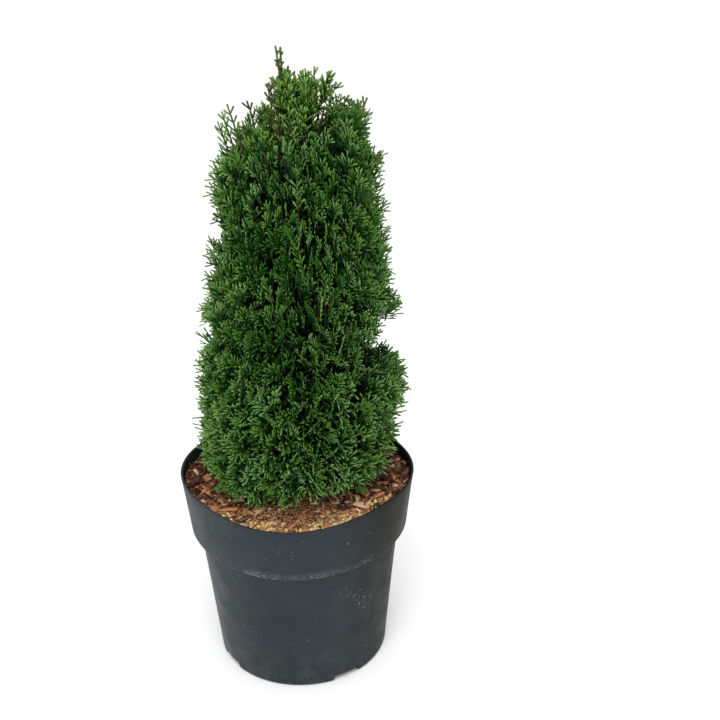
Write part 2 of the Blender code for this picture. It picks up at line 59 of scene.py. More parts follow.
# Light and floor
KEY_PLACE = (-0.10, -1.30, 1.90)
KEY_TARGET = (0, 0, 0.30)
KEY_SIZE = 1.2
KEY_POWER = 24
SKY_STRENGTH = 1.05
FLOOR_SIDE = 12.0
FLOOR_COLOURS = ((0.945, 0.945, 0.945), (0.960, 0.960, 0.960))

# Pot: the same driving sizes as the solid, with more sides and rounder edges
POT_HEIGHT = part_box("pot")[1][2]
RIM_RADIUS = 0.1007
COLLAR_FOOT_RADIUS = 0.0960
COLLAR_FOOT = 0.1310
BODY_TOP_RADIUS = 0.0888
FOOT_RADIUS = 0.0769
FOOT_RING_INNER = 0.0690
FOOT_ROUND = 0.0032
EDGE_ROUND = 0.0015
LIP_ROUND = 0.0006
WALL = 0.0020
FLOOR_HEIGHT = 0.0065
POT_SIDES = 192
POT_CREASE = 32
BODY_RINGS = 8
COLLAR_RINGS = 6
ARC_STEPS = 4
LOBES = 4
LOBE_REACH = 0.0028
LOBE_AZIMUTH = math.radians(-94)
NOTCH_AZIMUTH = math.radians(-58)
NOTCH_WIDTH = 0.031
NOTCH_TAPER = 0.0035
CUTTER_MARGIN = 0.0050
DRAIN_HOLES = 8
DRAIN_RADIUS = 0.0060
DRAIN_CIRCLE = 0.0520
DRAIN_SIDES = 32
# The pot's plastic, with a painted shade and a lower shine at its right side, and the marks on it
POT_COLOUR = (0.0100, 0.0165, 0.0205)
POT_SHADES = (0.90, 1.25)
POT_ROUGHNESS = (0.42, 0.58)
POT_PEEL = 0.00012
POT_SHINE = 0.24
RIGHT_PAINTED_SHADE = (0.0092, 0.0091, 0.0076)
RIGHT_SHINE = 0.09
DUST_COLOUR = (0.20, 0.19, 0.17)
DUST_STRENGTH = 0.22
SCUFF_COLOUR = (0.22, 0.26, 0.28)
SCUFF_STRENGTH = 0.80
SCUFF_STRETCH = (420, 420, 620)
RUB_COLOUR = (0.150, 0.155, 0.150)
# Where they fade in: an axis, and the places along it with none and with all of them
RIGHT_SHADE_FADE = ("X", 0.035, 0.080)
DUST_FADE = ("Z", 0.050, 0.0)
SCUFF_FADES = (
    ("Z", COLLAR_FOOT - 0.0004, COLLAR_FOOT + 0.0014),
    ("Z", COLLAR_FOOT + 0.0090, COLLAR_FOOT + 0.0015),
    ("Y", -0.030, -0.080),
    ("X", -0.062, -0.040),
)
RUB_FADES = (("X", 0.022, 0.050), ("Y", -0.020, -0.060), ("Z", 0.045, 0.075), ("Z", 0.122, 0.096))
# Their patterns: a noise's scale, detail and roughness, and its values with none and with all of them
DUST = (60, 5, 0.7, 0.45, 0.75)
PATCHES = (26, 2, 0.5, 0.50, 0.62)
RUBS = (260, 4, 0.75, 0.55, 0.68)
WORN_PARTS = (38, 3, 0.5, 0.42, 0.60)
STREAKS = (1, 4, 0.75, 0.46, 0.66)
SPECKS = (420, 3, 0.7, 0.66, 0.74)

# Soil and mulch
SOIL_TOP = 0.1740
MULCH_DEPTH = 0.0030
SOIL_UNEVEN = 0.0022
SOIL_FLAT = 0.0220
# Waves in the soil's top: how many round the pot, their slant and their height
SOIL_WAVES = ((3, 40, 1.0), (7, -90, 0.6))
SOIL_SIDES = 180
SOIL_RINGS = 46
SOIL_DEPTH = 0.0120
SOIL_SINK = 0.0008
CRUMB_HEIGHT = 0.0016
CRUMB_SCALE = 320
CRUMB_FRACTAL = (0.7, 2.1, 3)
SOIL_EDGE = 0.0975
SOIL_WALL_GAP = 0.0003
BARE_MIDDLE = 0.04
CORNER_KNOCK = (0.55, 1.1)
CHIPS = 1150
CHIP_LENGTH = (0.0080, 0.0200)
CHIP_WIDTH = (0.26, 0.60)
CHIP_THICKNESS = (0.0008, 0.0024)
CHIP_LIFT = 0.0008
CHIP_PILE = 0.0022
CHIP_FLATNESS = 0.72
CRUMBS = 3600
CRUMB_SIZE = (0.0008, 0.0026)
CRUMB_LIFT = 0.0004
CRUMB_FLATNESS = 0.3
FIBRES = 3400
FIBRE_LENGTH = (0.0045, 0.0110)
FIBRE_RADIUS = (0.00018, 0.00050)
FIBRE_LIFT = 0.0010
FIBRE_SAG = 0.0002
FIBRE_RISE = (-0.05, 0.22)
FIBRE_BEND = 0.5
FIBRE_BENDS = 3
FIBRE_TAPER = (1.0, 1.0, 0.8, 0.4)
# Where they lie: the azimuth with most of them, the share that lies on the far side, and how fast they thin
CHIP_DRIFT = (math.pi / 2 - 0.2, 0.02, 0.6)
CRUMB_DRIFT = (-math.pi / 2, 0.35, 1.0)
FIBRE_DRIFT = (-math.pi / 2, 0.12, 1.5)
BEADS = 360
BEAD_RADIUS = (0.0011, 0.0017)
# Drifts of beads: azimuth and spread in degrees, share
BEAD_DRIFTS = ((-66, 24, 1.0), (-115, 14, 0.45))
BEAD_BAND = 0.80
BEAD_CROWDING = 0.8
STRAY_BEADS = 0.008
BEAD_LIFT = 0.0014
BEAD_SQUASH = 0.85
BEAD_ROUNDS = 2
# The beads' finishes, each mottled between two colours
BEAD_COLOURS = (
    ("bead_yellow", (0.56, 0.42, 0.10), (0.80, 0.66, 0.26)),
    ("bead_ochre", (0.34, 0.22, 0.05), (0.52, 0.37, 0.10)),
    ("bead_beige", (0.50, 0.34, 0.16), (0.84, 0.64, 0.38)),
)
# The mulch's browns, each mottled between two colours, and their shares in front and at the back. The darker
# shares at the back are partly the chips that lie there and partly painted shade under the rim and the crown
BROWNS = (
    ("mulch_dark", (0.105, 0.044, 0.024), (0.032, 0.012, 0.006)),
    ("mulch_brown", (0.250, 0.115, 0.068), (0.110, 0.046, 0.024)),
    ("mulch_orange", (0.540, 0.255, 0.115), (0.350, 0.150, 0.064)),
    ("mulch_tan", (0.720, 0.470, 0.280), (0.520, 0.310, 0.170)),
)
FRONT_BROWNS = (0.02, 0.10, 0.56, 0.32)
BACK_BROWNS = (0.52, 0.36, 0.08, 0.04)
FRONT_NARROWING = 1.5
# The bed under the mulch: dark soil, darker still as painted shade in the gaps between the mulch
BED_COLOURS = ((0.150, 0.066, 0.032), (0.036, 0.015, 0.008))
BED_GRAIN = 420
EARTH_GRAIN = 500
EARTH_RELIEF = 0.0006
SOIL_CREASE = 50

# Trunk
TRUNK_FOOT = SOIL_TOP
TRUNK_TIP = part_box("trunk")[1][2]
TRUNK_FOOT_RADIUS = 0.0078
TRUNK_TIP_RADIUS = 0.0012
TRUNK_TAPER_POWER = 1.1
FLARE = 0.0050
FLARE_HEIGHT = 0.0090
FLARE_LOBES = 5
FLARE_SHARE = 0.6
TRUNK_SWAY = 0.0085
TRUNK_SWAY_BACK = 0.0040
TIP_SHIFT = -0.0035
TRUNK_SIDES = 40
TRUNK_RINGS = 220
BARK_RIDGE = 0.10
BARK_ACROSS = 620
BARK_ALONG = 110
BARK_FRACTAL = (0.8, 2.0, 3)
BARK_RELIEF = 0.0006
BARK_CREASE = 60
# Colours of the bark's ridges and furrows
TRUNK_BARK = ((0.165, 0.088, 0.050), (0.050, 0.026, 0.016))
BOUGH_BARK = ((0.180, 0.098, 0.054), (0.060, 0.030, 0.018))
TWIG_BARK = ((0.050, 0.040, 0.018), (0.020, 0.018, 0.009))

# Crown envelope
CROWN_FOOT = 0.1800
CROWN_RADIUS = 0.0950
CROWN_TAPER = 0.1160
SKIRT_TUCK_HEIGHT = 0.0350
SKIRT_TUCK_POWER = 0.35
SKIRT_TUCK_LEAST = 0.10
CROWN_SHOULDER = 0.5150
CROWN_TOP = 0.5610
INNER_SHARE = 0.36
SPACE_GAP = 0.0010

# Tiers of foliage: name, masses, azimuth of the first in degrees, lower edge, its rise outwards, its tilt
TIERS = (
    ("skirt", 5, 18, 0.1780, 0.00, 0.000),
    ("lower", 5, -6, 0.2400, 0.35, -0.010),
    ("middle", 5, 30, 0.3010, 0.60, 0.016),
    ("upper", 4, -35, 0.3750, 0.85, 0.018),
    ("crown", 4, 5, 0.4480, 1.15, 0.015),
)
PLUME_TOPS = (0.5440, 0.5300, 0.5180, 0.5080)
REACH = {
    "lower_1": 1.07,
    "lower_4": 1.05,
    "middle_1": 1.06,
    "middle_3": 1.04,
    "upper_1": 1.12,
    "upper_2": 1.08,
    "upper_3": 0.95,
    "crown_1": 1.20,
    "crown_3": 0.94,
}
LEADER_RADIUS = 0.0240

# Boughs
BOUGH_SIDES = 12
BOUGH_RINGS = 16
BOUGH_RADIUS = 0.0026
BOUGH_TIP_RADIUS = 0.0015
BOUGH_COLLAR = 1.35
BOUGH_COLLAR_LENGTH = 0.12
BOUGH_RISE = 0.23
BOUGH_RISE_PER_TIER = 0.085
BOUGH_LIFT = 0.12
BOUGH_SPREAD = 0.35
BOUGH_STAGGER = 0.0015
LOWEST_BOUGH = 0.0140
BOUGH_SINK = 0.5
STEM_LENGTH = 0.0060
# A mass's stem, in shares of its space: where it starts, and the point that it grows towards
STEM_START = (0, 0.42, 0)
STEM_AIM = (0, 0.50, 0.5)

# Sprays: joints of scale leaves end to end, with side shoots left and right in one plane. A joint's outline
# is a share along it and the half widths on its two sides there, at two stations
TIP_OUTLINE = ((0.00, 0.60, 0.70), (0.87, 1.00, 0.92))
STALK_OUTLINE = ((0.00, 0.60, 0.74), (0.62, 1.00, 0.90))
# The triangles of a joint that take the colour of its outer half, which is lighter at the ends of the
# fingers, partly as new growth and partly as a painted highlight
END_TRIANGLES = (1, 3, 5, 7, 8, 9)
SHADE_OUTLINE = ((0.00, 0.30, 0.30), (0.55, 1.00, 1.00))
JOINT_OVERLAP = 0.0009
JOINT_THICKNESS = 0.55
ORDER_THINNING = 0.06
FORK_ANGLE = math.radians(33)
FORK_ANGLE_SPREAD = math.radians(9)
FORK_REACHES = (0.78, 1.15)
FORK_FOOT = (0.05, 0.5)
LEAST_SHOOT = 0.0034
FOOT_SHARE = 0.25
CUPPING = math.radians(12)
GOLDEN_ANGLE = math.radians(137.5)

# Ways to grow: joint length and width, share of forks that grow, their least reach and what is added to it
# as a share of the rest of the shoot, how often forks fork again, the pull upwards, the most a shoot bends
# at each joint, and the length of a whole spray
Habit = namedtuple("Habit", "joint width fork_share least_fork fork_reach orders lift bend length")
LIMP = math.radians(8)
STIFF = math.radians(4)
DENSE = Habit(0.0062, 0.0016, 0.80, 0.0046, 0.44, 2, 0.08, LIMP, (0.0185, 0.0250))
BRUSH = Habit(0.0076, 0.0019, 0.86, 0.0060, 0.48, 2, 0.05, LIMP, (0.0190, 0.0250))
HANGING = BRUSH._replace(lift=-0.05)
OPEN = Habit(0.0068, 0.0018, 0.80, 0.0066, 0.18, 1, 0.10, LIMP, (0.0250, 0.0360))
ANTLER = Habit(0.0066, 0.0019, 0.85, 0.0070, 0.13, 1, 0.0, STIFF, None)
SLIM = Habit(0.0056, 0.0019, 0.85, 0.0052, 0.08, 1, 0.0, LIMP, None)
SPIKE = Habit(0.0060, 0.0022, 0.80, 0.0038, 0.05, 1, 0.06, STIFF, None)

# Rows of foliage: habit, how far out the tufts reach as shares of the mass, their rise and lean and the most
# that sprays turn from upright, all in degrees, and how far towards the dark tones they are dealt, a painted
# light and shade that leaves the lower rows lighter and the higher ones darker
Row = namedtuple("Row", "habit depth rise lean turn lit")
ROWS = {
    "skirt": Row(BRUSH, (0.87, 0.99), 18, 58, 75, 0.62),
    "lower": Row(BRUSH, (0.88, 1.00), 34, 52, 62, 0.74),
    "middle": Row(DENSE, (0.91, 1.03), 56, 40, 48, 1.00),
    "upper": Row(DENSE, (0.92, 1.04), 68, 36, 40, 1.16),
    "crown": Row(DENSE, (0.92, 1.04), 74, 34, 40, 1.24),
    "leader": Row(OPEN, None, None, None, 50, 1.10),
}

# Tufts: the ends of the branches, set in rows over the crown, each with sprays round its stalk
TUFT_ACROSS = 0.0205
TUFT_UP = 0.0225
TUFT_JITTER = 0.30
TUFT_LENGTH = 0.0320
TUFT_SPRAYS = 5
TUFT_STAGGER = 0.25
SPRAY_LENGTHS = (0.85, 1.08)
SPRAY_JITTER = 0.4
LEAN_POWER = 0.8
TUFT_STALK = 0.45
INWARD = -0.35
TUFT_RISE_SPREAD = 12
TUFT_SWING = 14
SKIRT_DROOP = 36
DROOP_LEVEL = 0.45
SKIRT_FLOOR = 0.1790
CROWN_TUFT_TOP = 0.5010
TOP_TILT = 0.0160
# Even layers of sprays under the tufts: room on the crown's face for each, depths as shares of the way out
LAYERS = {"under": (0.000100, (0.80, 0.94)), "back": (0.000260, (0.62, 0.78))}
LAYER_TURN = 0.6
LAYER_RISE_SPREAD = 20
SPREAD_ACROSS = 0.7548776662
SPREAD_UP = 0.5698402910
# Dents in the crown's outline, and bulges below nought: azimuth and half turn in degrees, height, half
# height, share of the radius
NOTCHES = (
    (0, 50, 0.3150, 0.026, 0.88),
    (5, 55, 0.356, 0.016, -0.07),
    (5, 55, 0.280, 0.016, -0.04),
    (0, 55, 0.240, 0.025, 0.07),
    (180, 55, 0.420, 0.018, 0.36),
    (180, 55, 0.450, 0.020, 0.06),
    (150, 55, 0.480, 0.030, 0.25),
    (0, 55, 0.212, 0.012, 0.12),
    (-72, 50, 0.182, 0.030, 0.16),
    (-113, 18, 0.186, 0.024, -0.09),
)
# How much higher the lowest leaves hang in front, in which direction, how narrowly, and up to which height
# over the soil they do
HEM_LIFT = 0.0200
HEM_AZIMUTH = math.radians(-78)
HEM_NARROWING = 3
HEM_HEIGHT = 0.0450

# Plumes at the top, from the photo: tip, foot, sprays (none for one flat shoot), habit
PLUMES = {
    "spike_left": ((-0.0022, 0.000, 0.5605), (0.0000, 0.000, 0.5300), 0, SPIKE),
    "spike_right": ((0.0000, 0.002, 0.5590), (0.0020, 0.002, 0.5290), 0, SPIKE),
    "spike_low": ((-0.0010, 0.001, 0.5500), (0.0014, 0.001, 0.5240), 0, SPIKE),
    "spike_side": ((0.0060, 0.000, 0.5450), (0.0044, 0.000, 0.5240), 0, SPIKE),
    "centre": ((0.0040, -0.002, 0.5400), (0.0050, -0.002, 0.5030), 14, OPEN),
    "centre_left": ((-0.0020, 0.000, 0.5330), (0.0000, 0.000, 0.4950), 12, OPEN),
    "centre_right": ((0.0180, 0.004, 0.5400), (0.0180, 0.004, 0.4980), 14, OPEN),
    "right_fork_1": ((0.0290, 0.004, 0.5430), (0.0240, 0.004, 0.5100), 0, ANTLER),
    "right_fork_2": ((0.0390, 0.004, 0.5365), (0.0260, 0.004, 0.5060), 8, OPEN),
    "right_dark": ((0.0487, 0.000, 0.5230), (0.0420, 0.000, 0.4950), 0, SLIM),
    "right": ((0.0560, 0.004, 0.5120), (0.0460, 0.002, 0.4750), 13, DENSE),
    "right_tip": ((0.0650, 0.000, 0.5198), (0.0560, 0.000, 0.4850), 0, ANTLER),
    "right_fan": ((0.0793, -0.004, 0.4715), (0.0590, -0.008, 0.4600), 0, ANTLER),
    "right_shoulder_1": ((0.0420, 0.000, 0.5160), (0.0380, 0.000, 0.4800), 8, DENSE),
    "right_shoulder_2": ((0.0500, 0.002, 0.5120), (0.0430, 0.002, 0.4740), 8, DENSE),
    "left_open_1": ((-0.0090, -0.008, 0.5340), (-0.0050, -0.006, 0.4950), 0, ANTLER),
    "left_open_2": ((-0.0130, -0.010, 0.5200), (-0.0100, -0.008, 0.4780), 2, OPEN),
    "left_open_3": ((-0.0235, -0.004, 0.5200), (-0.0180, -0.004, 0.4720), 0, ANTLER),
    "left_open_4": ((-0.0300, -0.010, 0.5080), (-0.0230, -0.010, 0.4640), 2, OPEN),
    "left_open_5": ((-0.0397, -0.006, 0.5180), (-0.0300, -0.006, 0.4700), 0, ANTLER),
    "left_open_6": ((-0.0456, -0.006, 0.5120), (-0.0350, -0.006, 0.4680), 0, ANTLER),
    "left_open_7": ((-0.0490, -0.006, 0.5040), (-0.0380, -0.006, 0.4620), 0, ANTLER),
    "left_open_8": ((-0.0330, -0.004, 0.5090), (-0.0280, -0.004, 0.4700), 0, SLIM),
}
PLUME_JITTER = 0.3
PLUME_TURN = 28
PLUME_TILT = 0.0130
PLUME_LEAN = math.radians(26)
PLUME_ROOT_DROP = 0.0300
PLUME_ROOT_TOP = 0.0040
PLUME_INWARD = 0.35
PLUME_LENGTH = (0.036, 0.044)
# More plumes behind, which the photo doesn't show, and low ones in front, by a rule: how many, first and
# last azimuth in degrees, heights and distances from the trunk's line, and how many sprays one may have
BACK_PLUMES = (11, 12, 168, (0.500, 0.520), (0.012, 0.036))
FRONT_PLUMES = (8, -150, -20, (0.498, 0.512), (0.014, 0.034))
RING_SPRAYS = (0, 7, 8, 9)
CAP_TUFTS = 34
CAP_RADIUS = 0.0440
CAP_HEIGHT = 0.5020
CAP_DROP = 0.45 * CAP_RADIUS
DOME_JITTER = 0.003
# Rise of a dome's tufts in degrees at its middle, and how much less at its rim
DOME_RISE = (88, 26)
# The head over the cap: centre, height of its top, radius, drop at its rim and tufts
HEAD = ((0.0160, 0.0), 0.5360, 0.0170, 0.0170, 13)

# Long bare shoots that lie on the crown: azimuth, height of the tip, length
LONG_SHOOTS = ((-80, 0.490, 0.045), (-84, 0.438, 0.038), (-79, 0.415, 0.034), (-68, 0.400, 0.030),
               (-104, 0.398, 0.030), (60, 0.430, 0.040), (140, 0.400, 0.035))
LONG_FOOT_SHARE = 0.90
LONG_TIP_SHARE = 0.98
LONG_SWING = 0.05
LONG_TWIG = (0.02, 0.01)

# Leaves inside the crown, near black as painted shade
SHADE_BLADES = 9000
SHADE_LENGTH = (0.010, 0.018)
SHADE_SWING = 1.0
SHADE_TURN = 1.5
SHADE_WIDTH = 0.0050
SHADE_OUT = (0.08, 0.76)
SHADE_HEIGHTS = (0.190, 0.476)
SHADE_RISE = (-10, 70)

# Twigs inside the masses
TWIG_ANCHORS = ((-0.6, 0.30), (0.0, 0.25), (0.6, 0.30), (-0.6, 0.75), (0.0, 0.70), (0.6, 0.75))
ANCHOR_DEPTH = 0.36
TWIG_RADIUS = 0.0009
TWIG_TIP_RADIUS = 0.00045
LONG_TWIG_RADIUS = 0.7 * TWIG_RADIUS
TWIG_STEPS = 4
TWIG_SAG = 0.10

SEED = 11
UP = Vector((0, 0, 1))
FRONT = Vector((0, -1, 0))
NEARLY_UPRIGHT = 0.99

# Roughness and specular level of the finishes
LEAF_SURFACE = (0.50, 0.16)
BARK_SURFACE = (0.88, 0.20)
EARTH_SURFACE = (0.93, 0.15)
FLOOR_SURFACE = (0.90, 0.10)
BEAD_SURFACE = (0.50, 0.50)
# The span that nearly all of a noise lies in
NOISE_SPAN = (0.35, 0.65)
# Sockets of a mix node that blends colours
MIX_FIRST = 6
MIX_SECOND = 7
MIX_RESULT = 2

# Base colours of the leaves, linear, from the painted shade inside the crown to the lighter ends, which are
# partly new growth and partly painted highlight
LEAVES = {
    "shade": (0.003, 0.022, 0.003),
    "deep": (0.007, 0.050, 0.005),
    "mid": (0.036, 0.114, 0.012),
    "fresh": (0.086, 0.200, 0.032),
    "bright": (0.158, 0.300, 0.078),
    "grey": (0.134, 0.262, 0.086),
    "lime": (0.122, 0.232, 0.032),
    "olive": (0.078, 0.112, 0.028),
    "bronze": (0.062, 0.042, 0.022),
}
KINDS = {name: number for number, name in enumerate(LEAVES)}
LEAF_SHADES = (0.86, 1.12)
LEAF_MOTTLE = 420
LEAF_GRAIN = 1500
LEAF_RELIEF = (0.0002, 0.6)
# Tones, from light to dark: the leaves of a spray's foot, its stalks, and its fingers' inner and outer
# halves, and how often the tone is dealt out. The dark foot and stalks are painted shade, and the lighter
# outer halves partly painted highlight
TONES = (
    (("shade", "deep", "fresh", "bright"), 0.24),
    (("shade", "deep", "fresh", "grey"), 0.14),
    (("shade", "deep", "mid", "fresh"), 0.48),
    (("shade", "deep", "deep", "mid"), 0.14),
)
# The same for the top, which is more olive
TOP_TONES = (
    (("deep", "mid", "lime", "bright"), 0.30),
    (("deep", "mid", "fresh", "lime"), 0.36),
    (("deep", "mid", "olive", "lime"), 0.18),
    (("shade", "deep", "mid", "fresh"), 0.16),
)
# How much the tones change from clump to clump, painted shade in some and painted light in others, and the
# clumps' size
CLUMP_CONTRAST = 0.62
CLUMP_SIZE = 0.042
# Places on the crown with painted shade, and with painted light below nought: azimuth, its spread, height,
# its spread, amount
SHADED_PLACES = (
    (math.radians(-92), math.radians(26), 0.372, 0.070, 0.62),
    (math.radians(178), math.radians(38), 0.300, 0.080, -0.34),
    (math.radians(-8), math.radians(36), 0.370, 0.080, -0.26),
    (math.radians(-105), math.radians(30), 0.225, 0.022, 0.16),
)
# Tones of the layers under the tufts, darker as painted shade, and of the single shoots at the top and on the
# crown
LAYER_TONES = {
    "under": (
        ("shade", "deep", "fresh", "fresh"),
        ("shade", "deep", "mid", "grey"),
        ("shade", "deep", "mid", "fresh"),
        ("shade", "shade", "deep", "mid"),
    ),
    "back": (("shade", "shade", "deep", "deep"), ("shade", "shade", "deep", "mid")),
}
ANTLER_TONES = (
    ("mid", "olive", "lime", "bright"),
    ("mid", "olive", "lime", "olive"),
    ("olive", "mid", "olive", "lime"),
    ("olive", "olive", "olive", "bronze"),
)
SPIKE_TONE = ("mid", "olive", "olive", "olive")
LONG_TONES = (
    ("bronze", "olive", "fresh", "bright"),
    ("bronze", "deep", "mid", "fresh"),
    ("olive", "deep", "mid", "fresh"),
)


# Meshes


def add_piece(mesh, nodes=()):
    """A piece of the plant that rides with it."""
    obj = bpy.data.objects.new(mesh.name, mesh)
    bpy.context.scene.collection.objects.link(obj)
    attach(obj, "root")
    if nodes:
        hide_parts(*nodes)


def mesh_from_arrays(name, points, triangles, kinds, materials):
    """A mesh of triangles, each of the material whose number kinds gives it."""
    mesh = bpy.data.meshes.new(name)
    mesh.vertices.add(len(points))
    mesh.vertices.foreach_set("co", np.asarray(points, dtype=np.float32).ravel())
    mesh.loops.add(triangles.size)
    mesh.polygons.add(len(triangles))
    mesh.polygons.foreach_set("loop_start", np.arange(0, triangles.size, 3, dtype=np.int32))
    mesh.polygons.foreach_set("vertices", triangles.astype(np.int32).ravel())
    for made in materials:
        mesh.materials.append(made)
    mesh.polygons.foreach_set("material_index", np.asarray(kinds, dtype=np.int32))
    mesh.update(calc_edges=True)
    return mesh


def skin_rings(bm, rings):
    """Quads between rings of points. A ring of one point is a pole, and an open end gets a flat cap."""
    made = [[bm.verts.new(point) for point in ring] for ring in rings]
    for low, high in zip(made, made[1:]):
        count = max(len(low), len(high))
        for i in range(count):
            j = (i + 1) % count
            corners = [low[i % len(low)], low[j % len(low)], high[j % len(high)], high[i % len(high)]]
            bm.faces.new(list(dict.fromkeys(corners)))
    for end in (made[0], made[-1]):
        if len(end) > 1:
            bm.faces.new(end)


def mesh_from_rings(name, groups, made, crease=None):
    """One mesh from groups of rings, each group a body of its own, smooth up to the crease's degrees."""
    bm = bmesh.new()
    for rings in groups:
        skin_rings(bm, rings)
    bmesh.ops.recalc_face_normals(bm, faces=bm.faces[:])
    mesh = bpy.data.meshes.new(name)
    bm.to_mesh(mesh)
    bm.free()
    mesh.materials.append(made)
    if crease:
        mesh.shade_smooth()
        mesh.set_sharp_from_angle(angle=math.radians(crease))
    return mesh


# Materials


class Finish:
    """A material under construction: a shader, and the patterns that feed it."""

    def __init__(self, name, colour, roughness, specular):
        self.made = bpy.data.materials.new(name)
        self.made.use_nodes = True
        self.tree = self.made.node_tree
        self.shader = self.tree.nodes["Principled BSDF"]
        self.shader.inputs["Base Color"].default_value = (*colour, 1)
        self.shader.inputs["Roughness"].default_value = roughness
        self.shader.inputs["Specular IOR Level"].default_value = specular
        self.place = self.tree.nodes.new("ShaderNodeTexCoord").outputs["Object"]

    def node(self, kind, **inputs):
        made = self.tree.nodes.new(kind)
        for name, value in inputs.items():
            self.feed(made.inputs[name.replace("_", " ")], value)
        return made

    def feed(self, socket, value):
        """Links a socket to another's output, or sets it to a plain value."""
        if isinstance(value, bpy.types.NodeSocket):
            self.tree.links.new(value, socket)
        else:
            socket.default_value = value

    def stretched(self, scale):
        return self.node("ShaderNodeMapping", Vector=self.place, Scale=scale).outputs["Vector"]

    def noise(self, scale, detail=3.0, roughness=0.5, place=None):
        made = self.node("ShaderNodeTexNoise", Vector=place or self.place)
        made.inputs["Scale"].default_value = scale
        made.inputs["Detail"].default_value = detail
        made.inputs["Roughness"].default_value = roughness
        return made.outputs["Fac"]

    def span(self, value, low, high, to_low=0.0, to_high=1.0):
        """A value's way from low to high, as a way from to_low to to_high."""
        made = self.node("ShaderNodeMapRange", Value=value)
        names = ("From Min", "From Max", "To Min", "To Max")
        for name, number in zip(names, (low, high, to_low, to_high)):
            made.inputs[name].default_value = number
        return made.outputs["Result"]

    def math(self, operation, first, second):
        made = self.tree.nodes.new("ShaderNodeMath")
        made.operation = operation
        self.feed(made.inputs[0], first)
        self.feed(made.inputs[1], second)
        return made.outputs["Value"]

    def blend(self, factor, first, second):
        """A colour between two others."""
        made = self.tree.nodes.new("ShaderNodeMix")
        made.data_type = "RGBA"
        self.feed(made.inputs[0], factor)
        self.feed(made.inputs[MIX_FIRST], (*first, 1) if isinstance(first, tuple) else first)
        self.feed(made.inputs[MIX_SECOND], (*second, 1) if isinstance(second, tuple) else second)
        return made.outputs[MIX_RESULT]

    def mottled(self, grain, first, second):
        """A colour that changes from one to another with a noise."""
        return self.blend(self.span(grain, *NOISE_SPAN), first, second)

    def pattern(self, scale, detail, roughness, none, full, place=None):
        """A noise between two of its values, as a share."""
        return self.span(self.noise(scale, detail, roughness, place), none, full)

    def faded(self, value, *fades):
        """A pattern that fades in along an axis, once or more often."""
        axes = self.node("ShaderNodeSeparateXYZ", Vector=self.place).outputs
        for axis, none, full in fades:
            value = self.math("MULTIPLY", value, self.span(axes[axis], none, full))
        return value

    def colour(self, value):
        self.feed(self.shader.inputs["Base Color"], value)

    def roughness(self, value):
        self.feed(self.shader.inputs["Roughness"], value)

    def relief(self, height, distance, strength=1.0):
        made = self.node("ShaderNodeBump", Height=height, Strength=strength, Distance=distance)
        self.feed(self.shader.inputs["Normal"], made.outputs["Normal"])


def shades(colour, *shares):
    """A colour made darker or lighter, once for each share."""
    return [tuple(part * share for part in colour) for share in shares]


def leaf_finish(name, colour):
    """Leaves of one plain colour, with a faint mottle and the grain of their scales."""
    finish = Finish(f"leaf_{name}", colour, *LEAF_SURFACE)
    finish.colour(finish.mottled(finish.noise(LEAF_MOTTLE, 2), *shades(colour, *LEAF_SHADES)))
    finish.relief(finish.noise(LEAF_GRAIN, 2), *LEAF_RELIEF)
    return finish.made


def bark_finish(name, colour, furrow, along=BARK_ALONG):
    """Stringy bark: long ridges over darker furrows."""
    finish = Finish(name, colour, *BARK_SURFACE)
    strings = finish.noise(1, 5, 0.6, place=finish.stretched((BARK_ACROSS, BARK_ACROSS, along)))
    finish.colour(finish.mottled(strings, furrow, colour))
    finish.relief(strings, BARK_RELIEF)
    return finish.made


def earth_finish(name, colour, other, scale=EARTH_GRAIN):
    """A dry crumb or chip, mottled between two browns."""
    finish = Finish(name, colour, *EARTH_SURFACE)
    grain = finish.noise(scale, 4, 0.6)
    finish.colour(finish.mottled(grain, other, colour))
    finish.relief(grain, EARTH_RELIEF)
    return finish.made


def pot_finish():
    """Dark recycled plastic with a faint orange peel, dusty at the foot, scuffed on the collar's step, and
    with a painted shade at its right side.
    """
    finish = Finish("pot_plastic", POT_COLOUR, sum(POT_ROUGHNESS) / 2, POT_SHINE)
    base = finish.mottled(finish.noise(14, 3), *shades(POT_COLOUR, *POT_SHADES))
    dust = finish.math("MULTIPLY", finish.pattern(*DUST), DUST_STRENGTH)
    dust = finish.faded(dust, DUST_FADE)
    base = finish.blend(dust, base, DUST_COLOUR)
    # A painted shade over the right side, where the plastic also shines less
    right = finish.faded(1.0, RIGHT_SHADE_FADE)
    base = finish.blend(right, base, RIGHT_PAINTED_SHADE)
    patch = finish.pattern(*PATCHES)
    rubbed = finish.math("MULTIPLY", finish.pattern(*RUBS), patch)
    base = finish.blend(finish.faded(rubbed, *RUB_FADES), base, RUB_COLOUR)
    streaks = finish.pattern(*STREAKS, place=finish.stretched(SCUFF_STRETCH))
    scuff = finish.math("MULTIPLY", streaks, finish.pattern(*WORN_PARTS))
    specks = finish.math("MULTIPLY", finish.pattern(*SPECKS), patch)
    mark = finish.math("MAXIMUM", finish.faded(scuff, *SCUFF_FADES), specks)
    finish.colour(finish.blend(finish.math("MULTIPLY", mark, SCUFF_STRENGTH), base, SCUFF_COLOUR))
    shine = finish.span(right, 0, 1, POT_SHINE, RIGHT_SHINE)
    finish.feed(finish.shader.inputs["Specular IOR Level"], shine)
    finish.roughness(finish.span(finish.noise(45, 4), 0.3, 0.7, *POT_ROUGHNESS))
    finish.relief(finish.noise(900, 3), POT_PEEL)
    return finish.made


def floor_finish():
    finish = Finish("studio_floor", FLOOR_COLOURS[0], *FLOOR_SURFACE)
    finish.colour(finish.blend(finish.noise(9, 3), *FLOOR_COLOURS))
    return finish.made


# Pot and soil


